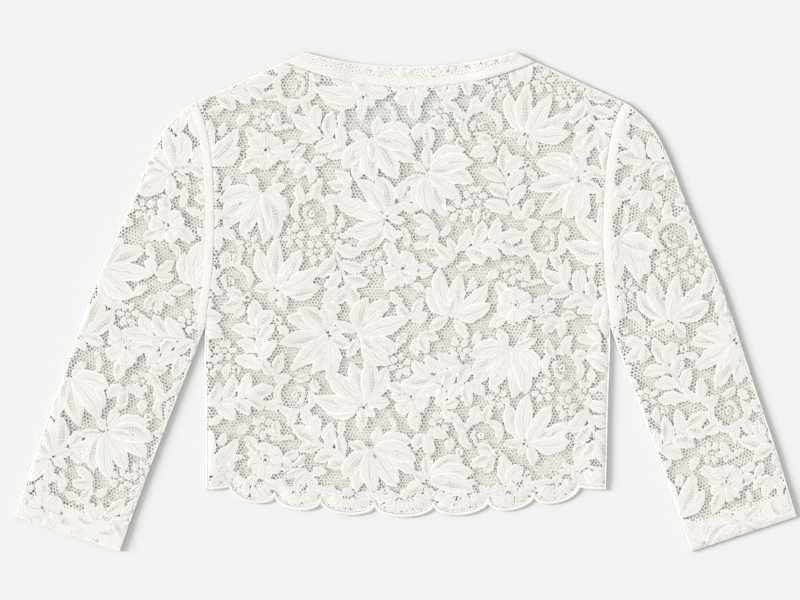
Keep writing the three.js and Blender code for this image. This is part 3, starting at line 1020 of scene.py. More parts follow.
trial = Graph(bpy.data.node_groups.new("trial", "GeometryNodeTree"))
(trial.value("GeometryNodeInputIndex", 0) % 2 + 1).up()
print("an expression of three operations makes", len(trial.tree.nodes), "nodes")
bpy.data.node_groups.remove(trial.tree)

# %% Trees of geometry, from their inputs to a plain mesh
def geometry_graph(name, sockets):
    """A Geometry Nodes tree with named inputs. Returns its graph and a function for them."""
    tree = bpy.data.node_groups.new(name, "GeometryNodeTree")
    tree.interface.new_socket("Geometry", in_out="OUTPUT", socket_type="NodeSocketGeometry")
    for label, kind in sockets:
        tree.interface.new_socket(label, in_out="INPUT", socket_type="NodeSocket" + kind)
    graph = Graph(tree)
    source = tree.nodes.new("NodeGroupInput")
    return graph, lambda label: Value(graph, source.outputs[label])


def end_tree(graph, geometry, material):
    """Every tree ends by making its instances real and giving them their material."""
    real = graph.add("GeometryNodeRealizeInstances", sockets={"Geometry": geometry})
    done = graph.add("GeometryNodeSetMaterial", sockets={
        "Geometry": real.outputs[0], "Material": material,
    })
    graph.tree.links.new(done.outputs[0], graph.tree.nodes.new("NodeGroupOutput").inputs[0])
    return graph.tree


def run_tree(tree, name, start, settings):
    """The plain mesh that a tree makes of a starting mesh, with these inputs."""
    holder = bpy.data.objects.new(name, start)
    bpy.context.scene.collection.objects.link(holder)
    modifier = holder.modifiers.new(name, "NODES")
    modifier.node_group = tree
    sockets = {s.name: s.identifier for s in tree.interface.items_tree if s.in_out == "INPUT"}
    for label, value in settings.items():
        modifier[sockets[label]] = value
    depsgraph = bpy.context.evaluated_depsgraph_get()
    shown = holder.evaluated_get(depsgraph)
    mesh = bpy.data.meshes.new_from_object(shown, preserve_all_data_layers=True, depsgraph=depsgraph)
    mesh.name = name
    bpy.data.objects.remove(holder)
    return mesh

# %% [markdown]
# ## Finishes
# All of the cloth is one ivory yarn, a blend with a faint sheen. What differs is how thick
# it lies, and the light and shade painted on it: the rims of leaves are packed and brighter,
# with a painted highlight, while veins and sheer fillings carry painted shade and look greyer,
# and the woven tape is smooth. A leaf's finish is drawn from its own places: how far along
# it, from root to tip, and how far across it. A rolled edge is bright on top and has painted
# shade on its lower half. The lower layers' yarns are toned for the shade under the upper layer.

# %% Colours, and two helpers for finishes
IVORY = (0.912, 0.893, 0.853, 1)
# the darkest leaf tone is painted shade: the dark seen through thin stitching, taken by veins and sheer
# slits
IVORY_THIN_SHADE = (0.52, 0.50, 0.455, 1)
NET_LIGHT = (0.865, 0.845, 0.802, 1)
NET_DARK = (0.75, 0.73, 0.685, 1)
# the lower layers' yarns carry painted light and shade: toned for the shade under the upper layer, the
# net a little lighter than the upper net and the leaves' lightest tone below the upper ivory, so that
# through the holes they read as one even tone
INSIDE_LIGHT = (0.895, 0.873, 0.825, 1)
INSIDE_DARK = (0.82, 0.798, 0.75, 1)
INSIDE_STITCHED_SHADED = (0.815, 0.794, 0.749, 1)
TAPE_LIGHT = (0.885, 0.865, 0.822, 1)
TAPE_DARK = (0.77, 0.75, 0.705, 1)
# painted shade for the lower half of a rolled edge, where it turns under towards the table
ROLL_SHADE = (0.36, 0.345, 0.315, 1)
YARN_ROUGHNESS = 0.78
FUZZ_SCALE = 1400.0  # the unevenness of the yarn: the larger, the finer it is
SPECKLE_SCALE = 520.0
CLOUD_SCALE = 26.0
TURN = 2 * math.pi


def shader_graph(name):
    material = bpy.data.materials.new(name)
    material.use_nodes = True
    graph = Graph(material.node_tree)
    return material, graph, material.node_tree.nodes["Principled BSDF"]


def mix_colour(graph, share, a, b):
    node = graph.add("ShaderNodeMix", {"data_type": "RGBA"}, {"Factor": share})
    graph.put(node.inputs[6], a)
    graph.put(node.inputs[7], b)
    return node.outputs[2]


def noise(graph, place, scale, detail, roughness):
    """Soft uneven spots."""
    return graph.value("ShaderNodeTexNoise", "Fac", None, {
        "Vector": place, "Scale": scale, "Detail": detail, "Roughness": roughness,
    })


print("the brightest yarn is", IVORY[:3], "and its thinnest parts", IVORY_THIN_SHADE[:3])

# %% The stitches of a leaf and of a rolled edge, with their painted light and shade
# across a leaf the vein is at 0 and its edge at 1, and along it the root is at 0
RIM = (0.72, 0.86)  # where the packed rim begins, and where it is full
RIM_CLOSING = 8  # how soon it closes round both ends
VEIN = (0.02, 0.1)
VEIN_ENDS = (0.04, 0.12)
SLIT_START = 0.12
SLIT_RATE = 4.4  # the larger, the shorter a slit is
SLIT_HALF = 0.22
SLIT_ASIDE = 0.31
SLIT_SOFT = 0.03
DASH_SLANT = 3
DASH_TONES = (-0.9, 0.7)
RIBS = 17
RIB_BENDS = 9
RIB_BEND = 1.6


def leaf_stitches_and_painted_light(graph):
    """The tone of a leaf, with a painted highlight on its rim and painted shade along its midrib and
    slit, and the height of its threads.
    """
    place = graph.add("ShaderNodeAttribute", {"attribute_name": "place"}).outputs["Vector"]
    parts = graph.add("ShaderNodeSeparateXYZ", None, {"Vector": place})
    along_it, across_it = Value(graph, parts.outputs["X"]), Value(graph, parts.outputs["Y"])
    slit = graph.value("ShaderNodeAttribute", "Fac", {"attribute_name": "slit"})
    from_end = along_it.least(1 - along_it)
    # the rim is brighter: denser stitching, and partly a painted highlight of its raised edge; cords,
    # which have no places, read as all rim
    rim = graph.step(across_it.size().most(1 - from_end * RIM_CLOSING), *RIM)
    # the vein is darkened: a thin stitched line, with painted shade of its pressed groove
    vein_mark_and_shade = (1 - graph.step(across_it.size(), *VEIN)) * graph.step(from_end, *VEIN_ENDS)
    # the sheer slit is painted shade: a grey lens beside the vein for the dark seen through thin
    # stitching, hatched with its stitches
    half = ((along_it - SLIT_START) * SLIT_RATE).least(math.pi).most(0).sine() * SLIT_HALF
    lens = half - (across_it + slit.sign() * SLIT_ASIDE).size()
    sheer_shade = graph.step(lens, -SLIT_SOFT, SLIT_SOFT) * slit.size().least(1)
    wave = (along_it * slit.size() * TURN + across_it * DASH_SLANT).sine()
    dashes = graph.step(wave, *DASH_TONES)
    ribs = (across_it * RIBS + (along_it * RIB_BENDS).sine() * RIB_BEND).sine() * 0.5 + 0.5
    packed = 0.73 + rim * 0.2 - vein_mark_and_shade * 0.34 - sheer_shade * (dashes * 0.5 + 0.14) + (ribs - 0.5) * 0.2
    return packed, ribs * (1 - rim) * 0.4 - sheer_shade * 0.4 - vein_mark_and_shade * 0.5


def roll_painted_shade(graph):
    """A rolled edge is bright on top, with painted shade on its lower half."""
    high = graph.value("ShaderNodeAttribute", "Fac", {"attribute_name": "high"})
    return graph.step(high, 0.3, 0.8), high * 0


print("the packed rim starts at", RIM[0], "of the way from the vein to the edge")

# %% The yarns
def yarn(name, light, dark, ribs, rib_depth, tone_and_painted_light=None, sheen=0.25):
    """A stitched or woven finish: fine threads, soft unevenness and a faint sheen."""
    material, graph, shader = shader_graph(name)
    place = graph.add("ShaderNodeTexCoord").outputs["Object"]
    bands = {"wave_type": "BANDS", "bands_direction": "DIAGONAL"}
    threads = graph.value("ShaderNodeTexWave", "Fac", bands, {
        "Vector": place, "Scale": ribs, "Distortion": 3.0, "Detail": 2.0, "Detail Scale": 1.5,
    })
    fuzz = noise(graph, place, FUZZ_SCALE, 2.0, 0.6)
    cloudy = noise(graph, place, CLOUD_SCALE, 3.0, 0.55)
    speckle = noise(graph, place, SPECKLE_SCALE, 2.0, 0.5)
    packed, relief = tone_and_painted_light(graph) if tone_and_painted_light else (0.75, threads * 0)
    share = packed * 0.82 + threads * 0.1 + cloudy * 0.14 + (fuzz - 0.5) * 0.2 + (speckle - 0.5) * 0.45
    graph.put(shader.inputs["Base Color"], mix_colour(graph, share, dark, light))
    graph.put(shader.inputs["Roughness"], YARN_ROUGHNESS - threads * 0.06 + (cloudy - 0.5) * 0.1)
    bump = graph.add("ShaderNodeBump", None, {
        "Strength": 0.5, "Distance": rib_depth, "Height": threads * 0.5 + fuzz * 0.5 + relief,
    })
    graph.put(shader.inputs["Normal"], bump.outputs[0])
    shader.inputs["Sheen Weight"].default_value = sheen
    shader.inputs["Sheen Roughness"].default_value = 0.45
    shader.inputs["Specular IOR Level"].default_value = 0.3
    return material


LEAF_RIBS = 620.0  # how fine the threads are, and how deep
LEAF_DEPTH = 0.18 * MM
ROLL_DEPTH = 0.12 * MM
NET_RIBS = 900.0
NET_DEPTH = 0.1 * MM
TAPE_RIBS = 760.0
TAPE_SHEEN = 0.35
STITCHED = yarn("stitched_yarn", IVORY, IVORY_THIN_SHADE, LEAF_RIBS, LEAF_DEPTH, leaf_stitches_and_painted_light)
ROLLED = yarn("rolled_edge_shaded_below", IVORY, ROLL_SHADE, LEAF_RIBS, ROLL_DEPTH, roll_painted_shade)
NET_YARN = yarn("net_yarn", NET_LIGHT, NET_DARK, NET_RIBS, NET_DEPTH)
# the lower layers' yarns, toned for the shade they lie in
INSIDE_YARN = yarn("net_wrong_side", INSIDE_LIGHT, INSIDE_DARK, NET_RIBS, NET_DEPTH)
STITCHED_INSIDE = yarn("stitched_under_toned_to_shade", INSIDE_STITCHED_SHADED, INSIDE_DARK, LEAF_RIBS, LEAF_DEPTH,
                       leaf_stitches_and_painted_light)
TAPE_YARN = yarn("woven_tape", TAPE_LIGHT, TAPE_DARK, TAPE_RIBS, NET_DEPTH, sheen=TAPE_SHEEN)
print("finishes:", [material.name for material in bpy.data.materials])

# %% [markdown]
# ## The two trees of the lace
# The first tree sets the stitched shapes on a piece's spots. The second makes the net: the
# dual of a mesh of even triangles is a honeycomb, and each of its cells becomes a ring of
# thread. Cells outside the cut are dropped, and so are cells that a leaf covers wholly.
# Rings are narrow in open net and wide where the lace is dense.

# %% The tree for the shapes
EDGE_WANDER = 4.8 * MM  # no two leaves of real lace have the same outline
EDGE_SCALE = 280.0


def shapes_tree():
    graph, given = geometry_graph("stitched_shapes", [
        ("Spots", "Geometry"), ("Shapes", "Collection"), ("Material", "Material"),
    ])
    library = graph.add("GeometryNodeCollectionInfo", None, {
        "Collection": given("Shapes"), "Separate Children": True, "Reset Children": True,
    })

    def named(label, kind):
        node = graph.add("GeometryNodeInputNamedAttribute", {"data_type": kind}, {"Name": label})
        return node.outputs[0]

    placed = graph.add("GeometryNodeInstanceOnPoints", None, {
        "Points": given("Spots"), "Instance": library.outputs[0], "Pick Instance": True,
        "Instance Index": named("shape", "INT"), "Rotation": named("turn", "FLOAT_VECTOR"),
        "Scale": named("size", "FLOAT_VECTOR"),
    })
    real = graph.add("GeometryNodeRealizeInstances", None, {"Geometry": placed.outputs[0]})
    position = graph.add("GeometryNodeInputPosition").outputs[0]
    ragged = graph.add("ShaderNodeTexNoise", None, {
        "Vector": position, "Scale": EDGE_SCALE, "Detail": 2.0,
    })
    ragged = graph.vector("SUBTRACT", ragged.outputs["Color"], (0.5, 0.5, 0.5))
    ragged = graph.vector("MULTIPLY", ragged, (EDGE_WANDER, EDGE_WANDER, 0))
    uneven = graph.add("GeometryNodeSetPosition", None, {"Geometry": real.outputs[0], "Offset": ragged})
    return end_tree(graph, uneven.outputs[0], given("Material"))


SHAPES_TREE = shapes_tree()
print("the shapes' tree has", len(SHAPES_TREE.nodes), "nodes")

# %% The tree for the net
ROW_SHARE = math.sqrt(3) / 2  # from one row of even triangles to the next
DRIFT = 4 * MM  # how far the rows of holes wander
DRIFT_SCALE = 38.0
OUTSIDE = 0.01  # the least share of a cell that has to lie on the cut
COVERED = 0.8  # the share under a leaf from which a cell is left out
PATCHES = (0.54, 0.62)  # of a noise, where the denser patches begin, and where they are full
PATCH_SCALE = 24.0


def net_tree():
    graph, given = geometry_graph("net", [
        ("Cut", "Geometry"), ("Leaves", "Object"), ("Dense parts", "Object"), ("Pitch", "Float"),
        ("Grain", "Float"), ("Hole", "Float"), ("Dense hole", "Float"), ("Patches", "Float"),
        ("Crest", "Float"), ("Wobble", "Float"), ("Seed", "Int"), ("Material", "Material"),
    ])
    position = graph.add("GeometryNodeInputPosition").outputs[0]
    box = graph.add("GeometryNodeBoundBox", None, {"Geometry": given("Cut")})
    size = graph.vector("SUBTRACT", box.outputs["Max"], box.outputs["Min"])
    middle = graph.vector("SCALE", graph.vector("ADD", box.outputs["Max"], box.outputs["Min"]), 0.5)
    diagonal = Value(graph, graph.vector("LENGTH", size))
    columns = (diagonal / given("Pitch")).up()
    rows = (diagonal / (given("Pitch") * ROW_SHARE)).up()
    grid = graph.add("GeometryNodeMeshGrid", None, {
        "Size X": (columns - 1) * given("Pitch"), "Size Y": (rows - 1) * given("Pitch") * ROW_SHARE,
        "Vertices X": columns, "Vertices Y": rows,
    })
    index = graph.value("GeometryNodeInputIndex", 0)
    odd = ((index % rows) % 2) * given("Pitch") * 0.5
    jitter = graph.add("FunctionNodeRandomValue", {"data_type": "FLOAT_VECTOR"}, {
        "Min": (-1, -1, 0), "Max": (1, 1, 0), "Seed": given("Seed"),
    })
    shift = graph.add("ShaderNodeCombineXYZ", None, {"X": odd})
    wobble = graph.vector("SCALE", jitter.outputs[0], given("Wobble"))
    rough = graph.vector("ADD", shift.outputs[0], wobble)
    moved = graph.add("GeometryNodeSetPosition", None, {"Geometry": grid.outputs[0], "Offset": rough})
    even = graph.add("GeometryNodeTriangulate", {"quad_method": "SHORTEST_DIAGONAL"}, {
        "Mesh": moved.outputs[0],
    })
    honeycomb = graph.add("GeometryNodeDualMesh", None, {"Mesh": even.outputs[0]})
    grained = graph.add("ShaderNodeVectorRotate", {"rotation_type": "Z_AXIS"}, {
        "Vector": position, "Angle": given("Grain"),
    })
    laid = graph.add("GeometryNodeSetPosition", None, {
        "Geometry": honeycomb.outputs[0], "Position": graph.vector("ADD", grained.outputs[0], middle),
    })
    drift = graph.add("ShaderNodeTexNoise", None, {
        "Vector": position, "Scale": DRIFT_SCALE, "Detail": 1.0,
    })
    drift = graph.vector("SUBTRACT", drift.outputs["Color"], (0.5, 0.5, 0.5))
    drift = graph.vector("MULTIPLY", graph.vector("SCALE", drift, DRIFT), (1, 1, 0))
    drifted = graph.add("GeometryNodeSetPosition", None, {"Geometry": laid.outputs[0], "Offset": drift})
    mesh = drifted.outputs[0]
    above = graph.vector("ADD", position, (0, 0, 1))

    def mark(mesh, label, target):
        """Stores on the net's corners whether something lies there."""
        ray = graph.add("GeometryNodeRaycast", None, {
            "Target Geometry": target, "Source Position": above, "Ray Direction": (0, 0, -1),
            "Ray Length": 2.0,
        })
        node = graph.add("GeometryNodeStoreNamedAttribute", {"data_type": "FLOAT", "domain": "POINT"}, {
            "Geometry": mesh, "Name": label, "Value": ray.outputs["Is Hit"],
        })
        return node.outputs[0]

    def marked(label):
        return graph.value("GeometryNodeInputNamedAttribute", 0, {"data_type": "FLOAT"}, {"Name": label})

    def shape_of(label):
        return graph.add("GeometryNodeObjectInfo", None, {"Object": given(label)}).outputs["Geometry"]

    mesh = mark(mesh, "inside", given("Cut"))
    outside = {"Geometry": mesh, "Selection": marked("inside") < OUTSIDE}
    mesh = graph.add("GeometryNodeDeleteGeometry", {"domain": "FACE"}, outside).outputs[0]
    mesh = mark(mesh, "covered", shape_of("Leaves"))
    covered = {"Geometry": mesh, "Selection": marked("covered") > COVERED}
    mesh = graph.add("GeometryNodeDeleteGeometry", {"domain": "FACE"}, covered).outputs[0]
    mesh = mark(mesh, "thick", shape_of("Dense parts"))
    rings = graph.add("GeometryNodeExtrudeMesh", {"mode": "FACES"}, {
        "Mesh": mesh, "Offset Scale": 0.0, "Individual": True,
    })
    busy = graph.value("ShaderNodeTexNoise", 0, None, {
        "Vector": position, "Scale": PATCH_SCALE, "Detail": 2.0,
    })
    thick = marked("thick").most(graph.step(busy, *PATCHES) * given("Patches"))
    hole = given("Hole") + thick * (given("Dense hole") - given("Hole"))
    narrowed = graph.add("GeometryNodeScaleElements", {"domain": "FACE"}, {
        "Geometry": rings.outputs["Mesh"], "Selection": rings.outputs["Top"], "Scale": hole,
    })
    crest = graph.add("ShaderNodeCombineXYZ", None, {"Z": given("Crest")})
    on_thread = graph.add("FunctionNodeBooleanMath", {"operation": "NOT"}, {0: rings.outputs["Top"]})
    raised = graph.add("GeometryNodeSetPosition", None, {
        "Geometry": narrowed.outputs[0], "Selection": on_thread.outputs[0], "Offset": crest.outputs[0],
    })
    opened = graph.add("GeometryNodeDeleteGeometry", {"domain": "FACE", "mode": "ONLY_FACE"}, {
        "Geometry": raised.outputs[0], "Selection": rings.outputs["Top"],
    })
    return end_tree(graph, opened.outputs[0], given("Material"))


NET_TREE = net_tree()
print("the net's tree has", len(NET_TREE.nodes), "nodes")

# %% [markdown]
# ## Laying the lace on the cut pieces
# The chart is repeated over each cut piece, along its grain. A point of lace that falls
# outside the outline is brought to the nearest point of it, as scissors would leave it, and
# every point is lifted to the height at which its cut piece lies. On the lower layers the
# right side faces down.

# %% The spots for the shapes
REACH = 34  # millimetres, the longest half of a spray's leaf
STACK = 7  # levels on which shapes that overlap lie
LONGER = 1.03  # the leaves are let run into each other
WIDER = 1.08
STACK_STEP = 0.03  # millimetres from one level to the next
# the sheer slits are painted shade in the leaf's finish; these set their hatching and how many leaves
# have one
DASH = 2.9  # millimetres from one stitch of a sheer slit to the next
SLIT_SHARE = 0.5  # of the leaves, how many have a sheer slit beside the vein
SLIT_LEAST = 16  # millimetres, the shortest leaf that may have one


def repeat_over(piece, grain=0.0, start=(0, 0)):
    """The chart's pieces that touch a cut piece."""
    low, high = piece.box()
    middle = (low + high) / 2
    reach = float(np.hypot(*(high - low))) / 2 + REACH
    c, s = math.cos(math.radians(grain)), math.sin(math.radians(grain))
    columns, rows = int(reach / REPEAT_WIDE) + 2, int(reach / REPEAT_LONG) + 4
    out = []
    for i in range(-columns, columns):
        for j in range(-rows, rows):
            for shape, px, py, turn, long, wide in REPEAT:
                x = px + i * REPEAT_WIDE + start[0]
                y = py + (j + i / 2) * REPEAT_LONG + start[1]
                if math.hypot(x, y) < reach:
                    at = (middle[0] + x * c - y * s, middle[1] + x * s + y * c)
                    out.append((shape, *at, turn + grain, long, wide))
    return out


def trimmed(items, piece, clear=None, most=0.4):
    """The pieces that lie on the cut, less those that reach far into a margin kept clear."""
    prints = np.array([np.stack(footprint(item, 7, 3), -1).reshape(-1, 2) for item in items])
    flat = prints.reshape(-1, 2)
    inside = piece.inside(flat).reshape(len(items), -1)
    keep = inside.any(1)
    if clear:
        far, _ = piece.reach(flat)
        for kind, margin in clear.items():
            keep &= (far[kind] < margin).reshape(len(items), -1).mean(1) < most
    return [item for item, kept in zip(items, keep) if kept]


def spots_mesh(items):
    """A mesh with one point for each shape, and what the shapes' tree reads."""
    spots, kinds, turns, sizes, slits = [], [], [], [], []
    draw = random.Random(len(items))
    for number, (shape, x, y, turn, long, wide) in enumerate(items):
        spots.append((x * MM, y * MM, STACK_STEP * (number % STACK) * MM))
        kinds.append(SHAPE_NAMES.index(shape))
        turns.append((0, 0, math.radians(turn)))
        sizes.append((long * MM * LONGER, wide * MM * WIDER / SHAPES[shape][3], 1))
        side = draw.choice((-1.0, 1.0))
        sheer_shade = shape[:4] == "leaf" and long > SLIT_LEAST and draw.random() < SLIT_SHARE
        slits.append(side * sheer_shade * long / DASH)
    mesh = bpy.data.meshes.new("spots")
    mesh.from_pydata(spots, [], [])
    store(mesh, "shape", "INT", kinds)
    store(mesh, "turn", "FLOAT_VECTOR", turns)
    store(mesh, "size", "FLOAT_VECTOR", sizes)
    store(mesh, "slit", "FLOAT", slits)
    return mesh

# %% Flat helpers: the cut itself, and its margins
LAP = 0.3  # share of an edge's length by which its strip laps over the next one's


def cut_mesh(piece):
    """The cut piece as one flat face."""
    mesh = bpy.data.meshes.new("cut")
    corners = [(x * MM, y * MM, 0) for x, y in piece.outline]
    mesh.from_pydata(corners, [], [tuple(range(len(corners)))])
    return mesh


def scratch_object(name, mesh):
    thing = bpy.data.objects.new(name, mesh)
    bpy.context.scene.collection.objects.link(thing)
    return thing


def margin_object(piece, widths):
    """Flat strips along some kinds of edge, where the net is made denser."""
    corners, faces = [], []
    ahead = piece.end - piece.start
    across = np.stack([-ahead[:, 1], ahead[:, 0]], -1) / np.maximum(np.hypot(*ahead.T), 1e-9)[:, None]
    middles = (piece.start + piece.end) / 2
    across = np.where(piece.inside(middles + across * 0.5)[:, None], across, -across)
    for kind, a, b, inward in zip(piece.kinds, piece.start, piece.end, across):
        if kind not in widths:
            continue
        lap, deep = (b - a) * LAP, inward * widths[kind]
        faces.append(tuple(range(len(corners), len(corners) + 4)))
        for x, y in (a - lap, b + lap, b + lap + deep, a - lap + deep):
            corners.append((x * MM, y * MM, 0))
    mesh = bpy.data.meshes.new("margins")
    mesh.from_pydata(corners, [], faces)
    return scratch_object("margins", mesh)


print("the back has", int((PIECES["back"].kinds == "seam").sum()), "stretches of seam")

# %% Laying a flat mesh on a cut piece
PULL = 0.62  # millimetres by which a leaf's edge wanders
PULL_TURN = 1.35  # radians of that wandering for each millimetre
PULL_DRIFT = 2  # what keeps the wandering uneven
PULL_DRIFT_TURN = 0.3
CUT_RELIEF = 0.3  # of the relief, what is left where scissors cut through it
PRESS_INSIDE = 1.5  # millimetres over which a pressed margin ends
PRESS_OUTSIDE = 1


def read_points(mesh):
    flat = np.empty(len(mesh.vertices) * 3, np.float32)
    mesh.vertices.foreach_get("co", flat)
    return flat.reshape(-1, 3).astype(float)


def set_points(mesh, points):
    mesh.vertices.foreach_set("co", points.astype(np.float32).ravel())


def wander(along_it, across_it):
    return PULL * MM * np.sin(PULL_TURN * along_it + PULL_DRIFT * np.sin(PULL_DRIFT_TURN * across_it))


def pulled_about(mesh):
    """Moves a flat mesh about a little, so that no two of its leaves have the same edge."""
    points = read_points(mesh)
    x, y = points[:, 0] / MM, points[:, 1] / MM
    points[:, 0] += wander(y, x)
    points[:, 1] += wander(x, y)
    set_points(mesh, points)
    return mesh


def lay(mesh, piece, relief=1.0, drop=0.0, pressed=None):
    """Trims a flat mesh to a cut piece and puts it at the piece's height.

    pressed gives margins along kinds of edge, and the share of the relief that is left there.
    """
    inside = piece.inside(read_points(mesh)[:, :2] / MM)
    work = bmesh.new()
    work.from_mesh(mesh)
    loose = [face for face in work.faces if not any(inside[v.index] for v in face.verts)]
    bmesh.ops.delete(work, geom=loose, context="FACES")
    bmesh.ops.delete(work, geom=[v for v in work.verts if not v.link_faces], context="VERTS")
    work.to_mesh(mesh)
    work.free()
    points = read_points(mesh)
    flat = points[:, :2] / MM
    reach, nearest = piece.reach(flat)
    outside = ~piece.inside(flat)
    flat[outside] = nearest[outside]
    if outside.any():
        on_edge, _ = piece.reach(flat[outside])
        for kind, far in on_edge.items():
            reach[kind][outside] = far
    across, down = draft(flat)
    high = piece.height(across, down, reach) - drop * piece.face
    local = np.where(outside, CUT_RELIEF, 1) * points[:, 2] / MM * relief
    for kind, (margin, left) in (pressed or {}).items():
        local = local * lerp(left, 1, smooth(reach[kind], margin - PRESS_INSIDE, margin + PRESS_OUTSIDE))
    set_points(mesh, np.column_stack([flat, high + piece.face * local]) * MM)
    if piece.face < 0:
        mesh.flip_normals()
    mesh.shade_smooth()
    mesh.update()
    return mesh


def joined(name, meshes):
    """One object out of several meshes, each with its own part of the bake's map."""
    parts = []
    for number, mesh in enumerate(meshes):
        points = read_points(mesh)[:, :2]
        low, high = points.min(0), points.max(0)
        corners = np.empty(len(mesh.loops), np.int32)
        mesh.loops.foreach_get("vertex_index", corners)
        share = (points[corners] - low) / max(*(high - low))
        share[:, 1] = (share[:, 1] + number) / len(meshes)
        mesh.uv_layers.new(name="OFBake").data.foreach_set("uv", share.astype(np.float32).ravel())
        parts.append(scratch_object(name, mesh))
    if len(parts) > 1:
        chosen = {"selected_objects": parts, "selected_editable_objects": parts}
        with bpy.context.temp_override(object=parts[0], active_object=parts[0], **chosen):
            bpy.ops.object.join()
    parts[0].name = name
    faces = parts[0].data.polygons
    triangles = sum(len(face.vertices) - 2 for face in faces)
    print(f"{name}: {triangles} triangles")
    return parts[0]

# %% [markdown]
# ## The stitched leaves and the net of every cut piece
# The upper layers get the fine shapes, the layers below the plain ones. The net is made
# after the leaves, because it leaves out the cells that they cover.

# %% One layer of lace
PITCH = 3.65 * MM  # from one hole of the net to the next
LOWER_PITCH = 3.6 * MM
OPEN_HOLE = 0.8  # how wide a hole is, as a share of its cell
LOWER_HOLE = 0.25  # the lower layers read as one even tone
DENSE_HOLE = 0.4  # along folds and seams
DENSE_PATCHES = 0.15  # how much denser the net is here and there
CREST = 0.24 * MM  # how far the threads stand up
WOBBLE = 1.3 * MM  # how uneven the cells are
FOLD_MARGIN = 2.2  # millimetres of denser net along an edge
SEAM_MARGIN = 3.0
UPPER_RELIEF = 0.65  # shares of the full relief of the shapes
LOWER_RELIEF = 0.45


def lace_layer(name, items, library, grain=0.0, dense=None, hole=None, relief=1.0, seed=1,
               drop=0.0, pressed=None, dense_hole=DENSE_HOLE):
    """The stitched shapes and the net of one cut piece."""
    piece = PIECES[name]
    top = piece.face > 0
    leaves = run_tree(SHAPES_TREE, name + "_leaves", spots_mesh(items), {
        "Shapes": library, "Material": STITCHED if top else STITCHED_INSIDE,
    })
    leaves_flat = scratch_object(name + "_leaves_flat", leaves)
    margins = margin_object(piece, dense or {"fold": FOLD_MARGIN, "seam": SEAM_MARGIN})
    net = run_tree(NET_TREE, name + "_net", cut_mesh(piece), {
        "Leaves": leaves_flat, "Dense parts": margins, "Pitch": PITCH if top else LOWER_PITCH,
        "Grain": math.radians(grain), "Hole": hole or (OPEN_HOLE if top else LOWER_HOLE),
        "Dense hole": dense_hole, "Patches": DENSE_PATCHES if top else 0.0, "Crest": CREST,
        "Wobble": WOBBLE, "Seed": seed, "Material": NET_YARN if top else INSIDE_YARN,
    })
    bpy.data.objects.remove(leaves_flat)
    bpy.data.objects.remove(margins)
    print(f"{name}: {len(items)} shapes, {len(net.polygons) // 6} net cells")
    return lay(pulled_about(leaves), piece, relief, drop, pressed), lay(net, piece, relief, drop)

# %% The hem's border of shells
NOTCHES = [-HEM_HALF + sum(SCALLOPS[:k]) for k in range(len(SCALLOPS) + 1)]
BORDER = 23  # millimetres of the hem kept for the shells
SHELL_EDGE = 5.5  # the shells stop short of the edge's cord
SHELL_TALL = 27
SHELL_SPREAD = 78  # degrees to each side of straight down
RAY_EVERY = 7  # millimetres of a scallop for each pair of rays
RAY_ROOT = 0.36  # share of the way to the edge at which a ray starts
BORDER_SEED = 11


def hem_at(across):
    return float(hem(np.array([across]))[0])


def hem_border():
    """In each scallop a shell of rays, with an arch over it and a leaf pair over each notch."""
    draw = random.Random(BORDER_SEED)
    items = []

    def put(shape, across, down, turn, long, wide):
        x, y = plan(across, down)
        items.append((shape, float(x), float(y), turn, long, wide))

    def to_edge(across, down, aim):
        """How far the hem's cord is from a point, in a direction given from straight down."""
        for far in np.arange(6, 60, 0.5):
            if down + far * math.cos(aim) > hem_at(across + far * math.sin(aim)) - SHELL_EDGE:
                return far
        return 60

    for number, (left, wide) in enumerate(zip(NOTCHES, SCALLOPS)):
        first, last = number == 0, number == len(SCALLOPS) - 1
        middle = left + wide * (1 if first else 0 if last else 0.5)
        reach = wide if first or last else wide / 2
        root = hem_at(left + wide / 2) - SHELL_TALL
        rays = 2 * int(reach / RAY_EVERY) + 1
        for k in range(rays):
            share = (k + draw.uniform(0.35, 0.65)) / rays
            aim = math.radians(lerp(-SHELL_SPREAD, SHELL_SPREAD, share))
            far = min(to_edge(middle, root, aim), (reach - 1) / max(abs(math.sin(aim)), 0.01))
            if not left < middle + far * math.sin(aim) < left + wide:
                continue
            near = far * RAY_ROOT
            start = (middle + near * math.sin(aim), root + near * math.cos(aim))
            broad = 2 * math.radians(SHELL_SPREAD) / rays * far * draw.uniform(0.78, 0.92)
            put("petal", *start, math.degrees(aim) - 90, far - near, broad)
        put("bud", middle, root + 9, 90, 12, 10)
        for side in (-1, 1):
            put("crescent", middle + side * 1.5, root + 3, 90 - side * 62, reach * 0.62, 6)
        if not first:
            notch = hem_at(left) - 3
            for turn in (58, 122):
                put("leaf", left, notch, turn + draw.uniform(-5, 5), draw.uniform(15, 19), 8.5)
            put("bud", left, notch - 3, 90, 10, 6)
    return items


BORDER_ITEMS = hem_border()
print("the border has", len(BORDER_ITEMS), "shapes")

# %% Lay the back and the fronts
HEM_HOLE = 0.36
PARTS = {}
# where the repeat starts on each piece, so that no two of them match
BODY_START = {"back": (12, -38), "front_left": (-60, 40), "front_right": (75, -95)}
BODY_DENSE = {"hem": BORDER - 3, "seam": SEAM_MARGIN, "side": SEAM_MARGIN}
BODY_PRESSED = {"hem": (BORDER, 0.4)}
for number, name in enumerate(BODY_START):
    top = name == "back"
    items = trimmed(repeat_over(PIECES[name], start=BODY_START[name]), PIECES[name], {"hem": BORDER})
    items += trimmed(BORDER_ITEMS, PIECES[name])
    leaves, net = lace_layer(
        name, items, FINE if top else PLAIN, dense=BODY_DENSE, seed=number + 1, pressed=BODY_PRESSED,
        relief=UPPER_RELIEF if top else LOWER_RELIEF, dense_hole=HEM_HOLE)
    PARTS[name + "_lace"] = joined(name + "_lace", [leaves])
    PARTS[name + "_net"] = joined(name + "_net", [net])

